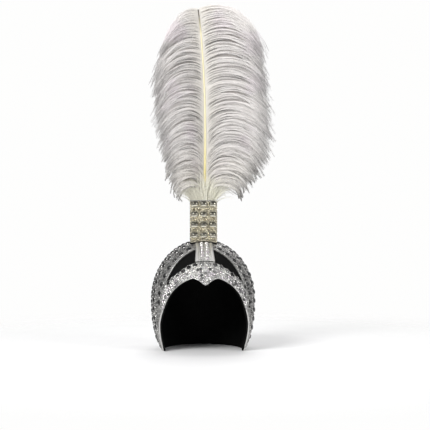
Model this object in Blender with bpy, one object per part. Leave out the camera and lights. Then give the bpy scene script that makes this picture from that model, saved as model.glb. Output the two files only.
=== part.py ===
"""Stage headdress: a stiff black helmet under silver panels set with square stones, and an ostrich plume.

Metres. The wearer faces -Y, +Z is up, and the helmet stands on its rim at z = 0.
"""

import math
from collections import namedtuple

import bmesh
import bpy
from mathutils import Vector

# The black helmet, measured outside
HALF_WIDTH = 0.0821
FRONT_DEPTH = 0.0960
BACK_DEPTH = 0.1040
WIDEST_HEIGHT = 0.0850
DOME_RISE = 0.0946
BASE_WALL = 0.0022
RIM_TUCK = 0.178        # how far the rim pulls in, as a share of the half width
TUCK_POWER = 2.4

# Fits between pieces
CLEARANCE = 0.0003
FACET_SAG = 0.0004      # how far a flat facet dips under the curve that its corners lie on
EDGE_REVEAL = 0.0012    # black edge left showing round the silver panels

# Silver panels and the stones in them
PANEL_WALL = 0.0018
STONE_MARGIN = 0.0007
STONE_RISE = 0.0030
ROW_STONE = 0.0080      # crown: stone across its row
ROW_SPACE = 0.0090      # crown: plain strip between two rows
COLUMN_STEP = 0.0075    # crown: stones sit in every second cell of this length
LEAST_END_CELL = 0.45   # crown: the last cell of a row is at least this share of a step
ARCH_HEM = 0.0030       # smooth silver hem along the crown's front edge
STONE_ROWS = 4
BACK_CROWDING = 1.6     # how much closer the back's sections lie towards the top
BROW_COLUMNS = 20
BROW_ROWS = 4
BROW_STONE_RISE = 0.0022

# Centre bar
BAR_WALL = 0.0014
BAR_TOP_HALF_WIDTH = 0.0136
BAR_FOOT_HALF_WIDTH = 0.0158
BAR_TAPER_END = 0.625        # share of its length at which the bar has narrowed to its top width
BAR_STONE = 0.0086
BAR_STEP = 0.0105
BAR_STONE_RISE = 0.0018

# Plume holder
HOLDER_WIDTH = 0.0430
HOLDER_DEPTH = 0.0170
HOLDER_RISE = 0.0674         # from the top of the silver crown to the sleeve's mouth
HOLDER_WALL = 0.0020
HOLDER_CORNER = 0.0020
HOLDER_BACK_SHIFT = 0.0145   # its middle, in front of the helmet's middle
HOLDER_STONE_WIDTH = 0.0118
HOLDER_STONE_HEIGHT = 0.0098
HOLDER_STONE_RISE = 0.0042
HOLDER_STONE_CUT = 0.0024
HOLDER_COLUMN_STEP = 0.0148
HOLDER_ROW_STEP = 0.0172
HOLDER_TOP_ROW_DROP = 0.0062
HOLDER_COLUMNS = 3
HOLDER_ROWS = 4

# Plume
PLUME_HEIGHT = 0.3230
QUILL_FOOT_RADIUS = 0.0019
QUILL_TIP_RADIUS = 0.0008
QUILL_SIDES = 10
PLUME_HALF_DEPTH = 0.0340
LOCK_THICKNESS = 0.0050
BACKING_TUCK = 0.0130        # how far the plug of down reaches into the holder

Edge = namedtuple("Edge", "turn height")
Arch = namedtuple("Arch", "height forward")
Crest = namedtuple("Crest", "along height")
Lock = namedtuple("Lock", "root tip left right lift")
Bend = namedtuple("Bend", "height side")
Corner = namedtuple("Corner", "across behind")
Facet = namedtuple("Facet", "side layer")
Section = namedtuple("Section", "along tall thick")

# Lower edge of the helmet round the face: degrees from the middle, share of the helmet's height
FACE_EDGE = (
    Edge(0.0, 0.628), Edge(3.0, 0.640), Edge(8.0, 0.669), Edge(15.2, 0.687), Edge(23.0, 0.667),
    Edge(31.5, 0.628), Edge(39.3, 0.571), Edge(45.5, 0.508), Edge(52.0, 0.422), Edge(56.0, 0.367),
    Edge(60.5, 0.306), Edge(65.7, 0.217), Edge(69.0, 0.122), Edge(71.5, 0.050), Edge(74.5, 0.0),
)

# Front edge of the crown: share of the helmet's height, share of the front depth
ARCH_EDGE = (
    Arch(0.00, 0.589), Arch(0.389, 0.589), Arch(0.628, 0.596), Arch(0.723, 0.594), Arch(0.806, 0.565),
    Arch(0.867, 0.536), Arch(0.917, 0.505), Arch(0.953, 0.4635), Arch(1.02, 0.38),
)

# Upper edge of the brow band: share of the way to the crown's edge, share of the helmet's height
BROW_TOP = (
    Crest(0.0, 0.838), Crest(0.15, 0.837), Crest(0.277, 0.832), Crest(0.463, 0.811), Crest(0.621, 0.773),
    Crest(0.748, 0.733), Crest(0.836, 0.702), Crest(0.93, 0.658), Crest(1.0, 0.620),
)

# Plume locks: heights as shares of the plume's, reaches to each side as shares of it too
LOCKS = (
    Lock(0.010, 0.035, 0.115, 0.205, 0.45), Lock(0.075, 0.135, 0.190, 0.280, 0.50),
    Lock(0.160, 0.235, 0.220, 0.315, 0.55), Lock(0.245, 0.335, 0.235, 0.330, 0.55),
    Lock(0.330, 0.430, 0.255, 0.335, 0.55), Lock(0.420, 0.530, 0.263, 0.330, 0.55),
    Lock(0.510, 0.630, 0.255, 0.330, 0.52), Lock(0.600, 0.730, 0.225, 0.318, 0.50),
    Lock(0.690, 0.820, 0.195, 0.295, 0.45), Lock(0.780, 0.900, 0.155, 0.250, 0.36),
    Lock(0.860, 0.960, 0.105, 0.180, 0.24), Lock(0.930, 0.990, 0.045, 0.095, 0.16),
)

# Sideways bow of the quill, in shares of the plume's height from the holder's top
QUILL_BEND = (
    Bend(-0.22, 0.002), Bend(0.0, 0.005), Bend(0.25, 0.0085), Bend(0.45, 0.0085), Bend(0.60, 0.004),
    Bend(0.75, -0.004), Bend(0.88, -0.014), Bend(0.98, -0.026), Bend(1.0, -0.029),
)
QUILL_LEAN_BACK = 0.030      # share of the plume's height that the tip leans back

# Outline of the backing behind the quill, from above, in shares of the quill's radius at that height
BACKING_OUTLINE = (
    Corner(-1.7, -1.0), Corner(-1.0, -1.0), Corner(-1.0, 1.0), Corner(1.0, 1.0), Corner(1.0, -1.0),
    Corner(1.7, -1.0), Corner(2.55, 0.4), Corner(1.7, 2.0), Corner(-1.7, 2.0), Corner(-2.55, 0.4),
)

# The backing's side facets that carry a lock: its side and whether it lies in front or behind
LOCK_FACETS = {5: Facet(1, -1), 6: Facet(1, 1), 8: Facet(-1, 1), 9: Facet(-1, -1)}

# Sections of a lock: share of the way to its tip, height as a share of its reach, share of its thickness
LOCK_SECTIONS = (
    Section(0.30, 0.14, 0.9), Section(0.55, 0.19, 1.0), Section(0.80, 0.18, 0.8), Section(1.00, 0.06, 0.3),
)
LOCK_ROOT_RISE = 0.04        # share of the plume's height that a lock climbs before it leaves the quill
LOCK_RISE_REACH = 0.38       # share of its reach over which a lock still rises
LOCK_DROOP_REACH = 0.22      # share of its reach over which its end droops
LOCK_UNEVEN = 0.03           # how much one lock's reach differs from the next
BACK_LOCK_SHORTER = 0.05     # share by which a back lock is shorter than a front one is longer

HELMET_HEIGHT = WIDEST_HEIGHT + DOME_RISE
PANEL_IN = CLEARANCE + FACET_SAG
PANEL_OUT = PANEL_IN + PANEL_WALL
HOLDER_TOP = HELMET_HEIGHT + PANEL_OUT + HOLDER_RISE
HOLDER_FRONT = -HOLDER_BACK_SHIFT - HOLDER_DEPTH / 2
SETTLE_ROUNDS = 60           # rounds in which a height or a place is closed in on


def clear_scene():
    for thing in list(bpy.data.objects):
        bpy.data.objects.remove(thing, do_unlink=True)


def curve_through(table, at):
    """Smooth value between the rows of a two-column table, held level past its ends."""
    if at <= table[0][0]:
        return table[0][1]
    if at >= table[-1][0]:
        return table[-1][1]
    k = max(i for i in range(len(table) - 1) if table[i][0] <= at)
    (x0, y0), (x1, y1) = table[k][:2], table[k + 1][:2]
    before = table[k - 1] if k > 0 else table[k]
    after = table[k + 2] if k + 2 < len(table) else table[k + 1]
    slope0 = (y1 - before[1]) / (x1 - before[0])
    slope1 = (after[1] - y0) / (after[0] - x0)
    span = x1 - x0
    t = (at - x0) / span
    return (
        (2 * t**3 - 3 * t**2 + 1) * y0 + (t**3 - 2 * t**2 + t) * span * slope0
        + (3 * t**2 - 2 * t**3) * y1 + (t**3 - t**2) * span * slope1
    )


def face_height(turn):
    return HELMET_HEIGHT * curve_through(FACE_EDGE, abs(math.degrees(turn)))


def arch_forward(height):
    return FRONT_DEPTH * curve_through(ARCH_EDGE, height / HELMET_HEIGHT)


def level_of(height, out=0.0):
    """Level -1 at the rim, 0 at the widest height and 1 at the top of the dome."""
    if height < WIDEST_HEIGHT:
        return height / WIDEST_HEIGHT - 1
    return math.asin(min(1.0, (height - WIDEST_HEIGHT) / (DOME_RISE + out))) / (math.pi / 2)


def size_at(level):
    """Share of the widest section at a level."""
    if level < 0:
        return 1 - RIM_TUCK * (-level) ** TUCK_POWER
    return math.cos(level * math.pi / 2)


def surface(turn, level, out):
    """Point at an angle from the face's middle and a level, out from the black helmet's skin."""
    share = size_at(level)
    depth = (FRONT_DEPTH if math.cos(turn) > 0 else BACK_DEPTH) + out
    height = WIDEST_HEIGHT * (1 + level)
    if level >= 0:
        height = WIDEST_HEIGHT + (DOME_RISE + out) * math.sin(level * math.pi / 2)
    return Vector(((HALF_WIDTH + out) * share * math.sin(turn), -depth * share * math.cos(turn), height))


def top_height(x, y, out):
    """Height of the dome over a point of the plan."""
    depth = (FRONT_DEPTH if y < 0 else BACK_DEPTH) + out
    inside = 1 - (x / (HALF_WIDTH + out)) ** 2 - (y / depth) ** 2
    return WIDEST_HEIGHT + (DOME_RISE + out) * math.sqrt(max(0.0, inside))


def turn_at(y, level, out):
    """Angle at which a level's section reaches the plane y."""
    depth = (FRONT_DEPTH if y < 0 else BACK_DEPTH) + out
    return math.acos(max(-1.0, min(1.0, -y / (depth * size_at(level)))))


def seam_turn(height):
    """Angle of the crown's front edge at a height."""
    return turn_at(-arch_forward(height), level_of(height, PANEL_OUT), PANEL_OUT)


def material(name, colour, roughness, metallic=0.0):
    made = bpy.data.materials.new(name)
    made.use_nodes = True
    shader = made.node_tree.nodes["Principled BSDF"]
    shader.inputs["Base Color"].default_value = (*colour, 1.0)
    shader.inputs["Roughness"].default_value = roughness
    shader.inputs["Metallic"].default_value = metallic
    return made


def add_object(name, bm, finish, smooth_angle=30.0):
    bmesh.ops.recalc_face_normals(bm, faces=bm.faces[:])
    mesh = bpy.data.meshes.new(name)
    bm.to_mesh(mesh)
    bm.free()
    mesh.materials.append(finish)
    mesh.shade_smooth()
    mesh.set_sharp_from_angle(angle=math.radians(smooth_angle))
    made = bpy.data.objects.new(name, mesh)
    bpy.context.scene.collection.objects.link(made)
    return made


def shell(rows, inner, outer, is_stone=None):
    """Closed wall over a grid of (turn, level) places. Equal places meet in one corner.

    inner and outer give the distance out from the black helmet for a row and column.
    Returns the mesh and the outer faces for which is_stone(row, column) holds.
    """
    bm = bmesh.new()
    sheets = []
    for out_at in (outer, inner):
        corners = {}
        grid = []
        for i, row in enumerate(rows):
            line = []
            for j, place in enumerate(row):
                key = (round(place[0], 9), round(place[1], 9), round(out_at(i, j), 9))
                if key not in corners:
                    corners[key] = bm.verts.new(surface(place[0], place[1], out_at(i, j)))
                line.append(corners[key])
            grid.append(line)
        sheets.append(grid)
    stones = []
    outside, inside = sheets
    for i in range(len(rows) - 1):
        for j in range(len(rows[i]) - 1):
            for grid in (outside, inside):
                around = [grid[i][j], grid[i][j + 1], grid[i + 1][j + 1], grid[i + 1][j]]
                corners = [v for k, v in enumerate(around) if v is not around[k - 1]]
                if len(set(corners)) < 3:
                    continue
                if grid is inside:
                    corners.reverse()
                face = bm.faces.new(corners)
                if grid is outside and is_stone and len(corners) == 4 and is_stone(i, j):
                    stones.append(face)
    partner = {}
    for line_out, line_in in zip(outside, inside):
        for corner_out, corner_in in zip(line_out, line_in):
            partner[corner_out] = corner_in
    open_edges = [e for e in bm.edges if e.is_boundary and all(v in partner for v in e.verts)]
    for edge in open_edges:
        a, b = edge.verts
        bm.faces.new((a, b, partner[b], partner[a]))
    bmesh.ops.recalc_face_normals(bm, faces=bm.faces[:])
    return bm, stones


def cut_stones(bm, faces, margin, rise):
    """Raises each face into a square step-cut stone: a plain margin, two tiers of facets and a table."""
    side = min(edge.calc_length() for face in faces for edge in face.edges)
    facet = (side - 2 * margin) / 7
    steps = ((margin, 0.0), (facet * 0.8, rise * 0.62), (facet * 1.3, rise * 0.38))
    for width, lift in steps:
        bmesh.ops.inset_individual(bm, faces=faces, thickness=width, depth=lift, use_even_offset=True)


def base_cap(finish):
    """Black helmet: columns from the face edge or the rim up to the crown."""
    front_end = math.radians(FACE_EDGE[-1].turn)
    front_columns, back_columns, rows_up = 14, 8, 9
    half = [front_end * j / front_columns for j in range(front_columns + 1)]
    half += [front_end + (math.pi - front_end) * j / back_columns for j in range(1, back_columns + 1)]
    turns = [-t for t in reversed(half[1:])] + half
    rows = []
    for i in range(rows_up + 1):
        row = []
        for turn in turns:
            low = level_of(face_height(turn))
            level = low + (1 - low) * i / rows_up
            at_back = abs(abs(turn) - math.pi) < 1e-9
            row.append((0.0, 1.0) if i == rows_up else (math.pi if at_back else turn, level))
        rows.append(row)
    bm, _ = shell(rows, lambda i, j: -BASE_WALL, lambda i, j: 0.0)
    return add_object("base_cap", bm, finish)


def slice_curve(y_at, low_limit, samples=160):
    """Places down one side of the slice of the crown's skin at y = y_at(height), with their distance."""
    top_low, top_high = WIDEST_HEIGHT, HELMET_HEIGHT + PANEL_OUT
    for _ in range(SETTLE_ROUNDS):
        middle = (top_low + top_high) / 2
        depth = (FRONT_DEPTH if y_at(middle) < 0 else BACK_DEPTH) + PANEL_OUT
        if depth * size_at(level_of(middle, PANEL_OUT)) > abs(y_at(middle)):
            top_low = middle
        else:
            top_high = middle
    top = top_low
    places, length, last = [], 0.0, None
    for k in range(samples + 1):
        height = top - (top - low_limit) * (k / samples) ** 2
        level = level_of(height, PANEL_OUT)
        turn = turn_at(y_at(height), level, PANEL_OUT)
        if k == 0:
            turn = 0.0 if y_at(height) < 0 else math.pi
        if height < face_height(turn) + EDGE_REVEAL and turn < math.radians(FACE_EDGE[-1].turn):
            break
        point = surface(turn, level, PANEL_OUT)
        length += (point - last).length if last else 0.0
        places.append((length, turn, level))
        last = point
    return places


def place_along(places, distance):
    for (s0, t0, l0), (s1, t1, l1) in zip(places, places[1:]):
        if s1 >= distance:
            share = (distance - s0) / (s1 - s0)
            return t0 + (t1 - t0) * share, l0 + (l1 - l0) * share
    return places[-1][1:]


def crown_lines():
    """Distance back from the crown's front edge of each line, and whether a row of stones follows it."""
    lines = [(0.0, False), (ARCH_HEM, True)]
    for _ in range(STONE_ROWS):
        lines.append((lines[-1][0] + ROW_STONE, False))
        lines.append((lines[-1][0] + ROW_SPACE, True))
    lines[-1] = (lines[-2][0] + ARCH_HEM, False)
    return lines


def crown_y(distance):
    """y of a line where it crosses the middle, and as a function of height down the sides."""
    top_forward = arch_forward(HELMET_HEIGHT * ARCH_EDGE[-2].height)
    at = -top_forward
    step, gone = ARCH_HEM / 15, 0.0
    while gone < distance:
        depth = (FRONT_DEPTH if at < 0 else BACK_DEPTH) + PANEL_OUT
        slope = (DOME_RISE + PANEL_OUT) * abs(at) / (depth**2 * math.sqrt(1 - (at / depth) ** 2))
        at += step / math.hypot(1.0, slope)
        gone += step
    fade = max(0.0, 1 - distance / (2 * (ROW_STONE + ROW_SPACE)))
    return lambda height: at - (arch_forward(height) - top_forward) * fade


def crown_cover(finish):
    """Silver crown: slices from ear to ear, a row of stones in every second strip between them."""
    lines = crown_lines()
    rim = EDGE_REVEAL
    curves = [slice_curve(crown_y(distance), rim) for distance, _ in lines]
    longest = max(places[-1][0] for places in curves)
    columns = int(longest / COLUMN_STEP) + 1
    rows, full = [], []
    for places in curves:
        whole = int(places[-1][0] / COLUMN_STEP - LEAST_END_CELL)
        half = [place_along(places, j * COLUMN_STEP) if j <= whole else places[-1][1:] for j in range(columns + 1)]
        middle = half[0][0]
        left = [(middle if k == 0 else (2 * middle - t if middle else -t), v) for k, (t, v) in enumerate(half)]
        rows.append(list(reversed(left[1:])) + half)
        full.append(whole)
    bar_reach = BAR_TOP_HALF_WIDTH + STONE_RISE
    holder_reach = HOLDER_WIDTH / 2 + STONE_RISE
    holder_back = HOLDER_FRONT + HOLDER_DEPTH

    def is_stone(i, j):
        if not lines[i][1]:
            return False
        near = min(abs(j - columns), abs(j + 1 - columns))
        far = near + 1
        if far > min(full[i], full[i + 1]):
            return False
        place = surface(*rows[i][j], PANEL_OUT)
        beyond = surface(*rows[i + 1][j], PANEL_OUT)
        reach = holder_reach if beyond.y > HOLDER_FRONT - STONE_RISE and place.y < holder_back + STONE_RISE else 0.0
        if place.y < HOLDER_FRONT:
            reach = max(reach, bar_reach)
        return near * COLUMN_STEP >= reach and near % 2 == (i // 2) % 2

    bm, stones = shell(rows, lambda i, j: PANEL_IN, lambda i, j: PANEL_OUT, is_stone)
    cut_stones(bm, stones, STONE_MARGIN, STONE_RISE)
    return add_object("crown_cover", bm, finish, 12.0)


def back_cover(finish):
    """Silver back: from the crown's last line round the back of the head, down to the rim."""
    last = crown_y(crown_lines()[-1][0] + CLEARANCE)(HELMET_HEIGHT)
    apex = top_height(0.0, last, PANEL_OUT)
    columns, rows_up = 24, 13
    rows = []
    for i in range(rows_up + 1):
        share = i / rows_up
        height = EDGE_REVEAL + (apex - EDGE_REVEAL) * (1 - (1 - share) ** BACK_CROWDING)
        level = level_of(height, PANEL_OUT)
        start = turn_at(last, level, PANEL_OUT)
        row = []
        for j in range(columns + 1):
            turn = start + 2 * (math.pi - start) * j / columns
            row.append((math.pi, level_of(apex, PANEL_OUT)) if i == rows_up else (turn, level))
        rows.append(row)
    bm, _ = shell(rows, lambda i, j: PANEL_IN, lambda i, j: PANEL_OUT)
    return add_object("back_cover", bm, finish)


def brow_height(along):
    return HELMET_HEIGHT * curve_through(BROW_TOP, abs(along))


def brow_place(along, height):
    """Place in the brow band at a share of the way to the crown's edge, held clear of that edge."""
    turn = seam_turn(height) - CLEARANCE / HALF_WIDTH
    return along * turn, level_of(height, PANEL_OUT)


def brow_foot(along):
    """Height of the band's lower edge, which keeps the black edge showing below it."""
    height = face_height(0.0)
    for _ in range(SETTLE_ROUNDS):
        height = (height + face_height(along * seam_turn(height)) + EDGE_REVEAL) / 2
    return height


def brow_band(finish):
    rows = []
    for i in range(BROW_ROWS + 1):
        row = []
        for j in range(BROW_COLUMNS + 1):
            along = 2 * j / BROW_COLUMNS - 1
            low, high = brow_foot(along), brow_height(along)
            row.append(brow_place(along, low + (high - low) * i / BROW_ROWS))
        rows.append(row)
    bm, stones = shell(rows, lambda i, j: PANEL_IN, lambda i, j: PANEL_OUT, lambda i, j: True)
    cut_stones(bm, stones, STONE_MARGIN, BROW_STONE_RISE)
    return add_object("brow_band", bm, finish, 12.0)


def crown_edge_y(x):
    """y of the crown's front edge at a distance from the middle."""
    y = -arch_forward(HELMET_HEIGHT)
    for _ in range(SETTLE_ROUNDS):
        y = (y - arch_forward(top_height(x, y, PANEL_OUT))) / 2
    return y


def brow_edge_y(x):
    """y just above the brow band's upper edge at a distance from the middle."""
    height = brow_height(0.0)
    for _ in range(SETTLE_ROUNDS):
        level = level_of(height, PANEL_OUT)
        turn = math.asin(x / ((HALF_WIDTH + PANEL_OUT) * size_at(level)))
        height = brow_height(turn / seam_turn(height)) + 2 * CLEARANCE
    return surface(turn, level_of(height, PANEL_OUT), PANEL_OUT).y


def centre_bar(finish):
    """Bar on the helmet's middle line. It stands on the black helmet, steps up over the crown's edge
    and stops short of the plume holder's foot."""
    over = PANEL_OUT + CLEARANCE + FACET_SAG / 2
    out = over + BAR_WALL
    foot_y = brow_edge_y(0.0)
    end_y = HOLDER_FRONT - HOLDER_STONE_RISE - CLEARANCE
    arch_y = crown_edge_y(0.0)
    steps = max(3, round((end_y - foot_y) / BAR_STEP))
    lines = [foot_y + (end_y - foot_y) * k / steps for k in range(steps + 1)]
    marks = [(y, PANEL_IN if y < arch_y else over) for y in lines if abs(y - arch_y) > BAR_STEP / 4]
    marks = sorted(marks + [(arch_y - 3 * CLEARANCE, PANEL_IN), (arch_y - 2 * CLEARANCE, over)])
    rows = []
    for y, _ in marks:
        narrowed = min(1.0, (y - foot_y) / (end_y - foot_y) / BAR_TAPER_END)
        half = BAR_FOOT_HALF_WIDTH + (BAR_TOP_HALF_WIDTH - BAR_FOOT_HALF_WIDTH) * narrowed
        row = []
        for x in (-half, -BAR_STONE, 0.0, BAR_STONE, half):
            by_arch = max(0.0, 1 - abs(y - arch_y) / (2 * BAR_STEP))
            by_brow = max(0.0, 1 - (y - foot_y) / BAR_STEP)
            place_y = y + (crown_edge_y(x) - arch_y) * by_arch + (brow_edge_y(x) - foot_y) * by_brow
            level = level_of(top_height(x, place_y, PANEL_OUT), PANEL_OUT)
            row.append((math.asin(x / ((HALF_WIDTH + PANEL_OUT) * size_at(level))), level))
        rows.append(row)

    def is_stone(i, j):
        return j in (1, 2) and marks[i + 1][0] - marks[i][0] > BAR_STEP / 2

    bm, stones = shell(rows, lambda i, j: marks[i][1], lambda i, j: out, is_stone)
    cut_stones(bm, stones, STONE_MARGIN, BAR_STONE_RISE)
    return add_object("centre_bar", bm, finish, 12.0)


def sleeve_outline(half_width, half_depth, corner):
    """Rectangle with cut corners, anticlockwise from above, with points along the wide sides."""
    wide = [half_width - corner - (2 * half_width - 2 * corner) * k / 6 for k in range(7)]
    front = [(-x, -half_depth) for x in wide]
    back = [(x, half_depth) for x in wide]
    side = half_depth - corner
    return front + [(half_width, -side), (half_width, side)] + back + [(-half_width, side), (-half_width, -side)]


def ring_between(bm, low, high):
    count = len(low)
    for k in range(count):
        bm.faces.new((low[k], low[(k + 1) % count], high[(k + 1) % count], high[k]))


def plume_holder(finish):
    """Flat sleeve, open above and below, whose foot follows the dome."""
    outlines = [
        sleeve_outline(HOLDER_WIDTH / 2, HOLDER_DEPTH / 2, HOLDER_CORNER),
        sleeve_outline(HOLDER_WIDTH / 2 - HOLDER_WALL, HOLDER_DEPTH / 2 - HOLDER_WALL, HOLDER_CORNER / 2),
    ]
    bm = bmesh.new()
    rings = []
    for outline in outlines:
        foot, mouth = [], []
        for x, y in outline:
            place_y = y - HOLDER_BACK_SHIFT
            stand = top_height(x, place_y, PANEL_OUT) + CLEARANCE
            foot.append(bm.verts.new((x, place_y, stand)))
            mouth.append(bm.verts.new((x, place_y, HOLDER_TOP)))
        rings.append((foot, mouth))
    (foot_out, mouth_out), (foot_in, mouth_in) = rings
    for low, high in ((foot_out, mouth_out), (mouth_out, mouth_in), (mouth_in, foot_in), (foot_in, foot_out)):
        ring_between(bm, low, high)
    return add_object("plume_holder", bm, finish)


def holder_stones(finish):
    """Main stones on the holder's front, each an oblong with cut corners, sloped facets and a table."""
    made = []
    for row in range(HOLDER_ROWS):
        for column in range(HOLDER_COLUMNS):
            x = (column - (HOLDER_COLUMNS - 1) / 2) * HOLDER_COLUMN_STEP
            z = HOLDER_TOP - HOLDER_TOP_ROW_DROP - row * HOLDER_ROW_STEP
            bm = bmesh.new()
            seat = HOLDER_FRONT - CLEARANCE
            tiers = ((1.0, 0.0), (1.0, 0.35), (0.55, 1.0))
            rings = []
            for scale, lift in tiers:
                half_w = HOLDER_STONE_WIDTH / 2 * scale
                half_h = HOLDER_STONE_HEIGHT / 2 * scale
                cut = HOLDER_STONE_CUT * scale
                outline = [
                    (half_w - cut, -half_h), (half_w, cut - half_h), (half_w, half_h - cut), (half_w - cut, half_h),
                    (cut - half_w, half_h), (-half_w, half_h - cut), (-half_w, cut - half_h), (cut - half_w, -half_h),
                ]
                depth = seat - HOLDER_STONE_RISE * lift
                rings.append([bm.verts.new((x + dx, depth, z + dz)) for dx, dz in outline])
            for low, high in zip(rings, rings[1:]):
                ring_between(bm, low, high)
            bm.faces.new(reversed(rings[0]))
            bm.faces.new(rings[-1])
            number = row * HOLDER_COLUMNS + column + 1
            made.append(add_object(f"holder_stone_{number}", bm, finish, 5.0))
    return made


def quill_at(share):
    """Middle of the quill at a share of the plume's height above the holder's top."""
    height = HOLDER_TOP + PLUME_HEIGHT * share
    side = PLUME_HEIGHT * curve_through(QUILL_BEND, share)
    back = QUILL_LEAN_BACK * PLUME_HEIGHT * max(0.0, share) ** 2
    return Vector((side, back - HOLDER_BACK_SHIFT, height))


def quill_radius(share):
    taper = min(1.0, max(0.0, share))
    return QUILL_FOOT_RADIUS + (QUILL_TIP_RADIUS - QUILL_FOOT_RADIUS) * taper


def quill_foot_share():
    """The quill stands on the dome inside the holder."""
    stand = top_height(0.0, -HOLDER_BACK_SHIFT, PANEL_OUT) + CLEARANCE
    return (stand - HOLDER_TOP) / PLUME_HEIGHT


def plume_quill(finish):
    foot = quill_foot_share()
    tip = QUILL_BEND[-2].height
    sections = 16
    bm = bmesh.new()
    rings = []
    for k in range(sections + 1):
        share = foot + (tip - foot) * k / sections
        middle, radius = quill_at(share), quill_radius(share)
        ring = []
        for side in range(QUILL_SIDES):
            angle = 2 * math.pi * side / QUILL_SIDES
            ring.append(bm.verts.new(middle + Vector((radius * math.cos(angle), radius * math.sin(angle), 0))))
        rings.append(ring)
    for low, high in zip(rings, rings[1:]):
        ring_between(bm, low, high)
    bm.faces.new(reversed(rings[0]))
    bm.faces.new(rings[-1])
    return add_object("plume_quill", bm, finish, 40.0)


def backing_ring(share):
    """Channel behind the quill, open to the front, anticlockwise from above."""
    radius = quill_radius(share) + CLEARANCE
    return [quill_at(share) + Vector((radius * x, radius * y, 0)) for x, y in BACKING_OUTLINE]


def plug_ring(share):
    """The same points where the down fills the holder's mouth, with the quill's channel through them."""
    quill = quill_at(share)
    radius = quill_radius(share) + CLEARANCE
    half_width = HOLDER_WIDTH / 2 - HOLDER_WALL - CLEARANCE
    half_depth = HOLDER_DEPTH / 2 - HOLDER_WALL - CLEARANCE
    flank = half_width - HOLDER_CORNER
    outline = (
        (-flank, -half_depth), (quill.x - radius, -half_depth), (quill.x - radius, radius),
        (quill.x + radius, radius), (quill.x + radius, -half_depth), (flank, -half_depth),
        (half_width, 0.0), (flank, half_depth), (-flank, half_depth), (-half_width, 0.0),
    )
    return [Vector((x, y - HOLDER_BACK_SHIFT, quill.z)) for x, y in outline]


def lock_sections(lock, side, layer, number):
    """Sections of one lock from near the backing to its tip: a lens that rises, arches and droops."""
    reach = PLUME_HEIGHT * (lock.right if side > 0 else lock.left)
    reach *= 1 - BACK_LOCK_SHORTER * layer + LOCK_UNEVEN * math.sin(2.4 * number)
    root = quill_at(lock.root + LOCK_ROOT_RISE)
    tip = Vector((root.x + side * reach, 0, HOLDER_TOP + PLUME_HEIGHT * lock.tip))
    rise = root + Vector((side * reach * LOCK_RISE_REACH, 0, reach * lock.lift))
    droop = tip + Vector((-side * reach * LOCK_DROOP_REACH, 0, reach * lock.lift / 2))
    sections = []
    for s, tall, thick in LOCK_SECTIONS:
        weights = ((1 - s) ** 3, 3 * s * (1 - s) ** 2, 3 * s**2 * (1 - s), s**3)
        middle = sum((point * w for point, w in zip((root, rise, droop, tip), weights)), Vector())
        ahead = (rise - root) * (1 - s) ** 2 + (droop - rise) * 2 * s * (1 - s) + (tip - droop) * s**2
        ahead = Vector((ahead.x, 0, ahead.z)).normalized()
        up = Vector((-ahead.z * side, 0, ahead.x * side))
        middle.y = root.y + layer * PLUME_HALF_DEPTH * math.sin(s * 1.9) * (0.45 + 0.5 * s)
        across = Vector((0, side * LOCK_THICKNESS * thick / 2, 0))
        half = up * (reach * tall / 2)
        sections.append([middle - across - half, middle + across - half, middle + across + half, middle - across + half])
    return sections


def plume_vane(finish):
    """A plug of down in the holder's mouth, and above it a backing along the quill with four locks
    at each step: a front and a back one to each side."""
    bm = bmesh.new()
    outlines = [plug_ring(-BACKING_TUCK / PLUME_HEIGHT), plug_ring(0.0)]
    outlines += [backing_ring(lock.root) for lock in LOCKS]
    outlines.append(backing_ring(LOCKS[-1].root + LOCK_ROOT_RISE))
    rings = [[bm.verts.new(point) for point in outline] for outline in outlines]
    first_locks = len(rings) - 1 - len(LOCKS)
    count = len(rings[0])
    for k, (low, high) in enumerate(zip(rings, rings[1:])):
        for i in range(count):
            root = [low[i], low[(i + 1) % count], high[(i + 1) % count], high[i]]
            if k < first_locks or i not in LOCK_FACETS:
                bm.faces.new(root)
                continue
            side, layer = LOCK_FACETS[i]
            step = k - first_locks
            for section in lock_sections(LOCKS[step], side, layer, (step + 1) * len(LOCK_FACETS) + i):
                end = [bm.verts.new(point) for point in section]
                ring_between(bm, root, end)
                root = end
            bm.faces.new(root)
    bm.faces.new(reversed(rings[0]))
    bm.faces.new(rings[-1])
    return add_object("plume_vane", bm, finish, 40.0)


def stand_on_origin(objects):
    """Moves the whole so that the middle of its outer box stands over the origin, foot at z = 0."""
    points = [v.co for thing in objects for v in thing.data.vertices]
    low = Vector([min(p[k] for p in points) for k in range(3)])
    high = Vector([max(p[k] for p in points) for k in range(3)])
    shift = Vector((-(low.x + high.x) / 2, -(low.y + high.y) / 2, -low.z))
    for thing in objects:
        for vertex in thing.data.vertices:
            vertex.co += shift


def main():
    clear_scene()
    black = material("black_base", (0.012, 0.012, 0.013), 0.55)
    silver = material("silver_stones", (0.62, 0.61, 0.63), 0.25, 0.8)
    brow = material("brow_stones", (0.80, 0.79, 0.83), 0.2, 0.7)
    holder = material("holder_panel", (0.60, 0.56, 0.46), 0.3, 0.7)
    stone = material("champagne_stone", (0.75, 0.71, 0.58), 0.08, 0.3)
    quill = material("quill", (0.93, 0.88, 0.62), 0.4)
    feather = material("feather", (0.80, 0.78, 0.79), 0.8)
    objects = [
        base_cap(black),
        crown_cover(silver),
        back_cover(silver),
        brow_band(brow),
        centre_bar(brow),
        plume_holder(holder),
        *holder_stones(stone),
        plume_quill(quill),
        plume_vane(feather),
    ]
    stand_on_origin(objects)


main()
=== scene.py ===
# %% [markdown]
# # A stage helmet with an ostrich plume
#
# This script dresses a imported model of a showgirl's headdress: a stiff black helmet under silver cloth,
# set with cut stones, and one tall ostrich plume in a stone-covered sleeve on top.
#
# The solids give every place and size. Metres, +Z up, and the face opening looks along -Y.

import math
from collections import namedtuple

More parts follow.
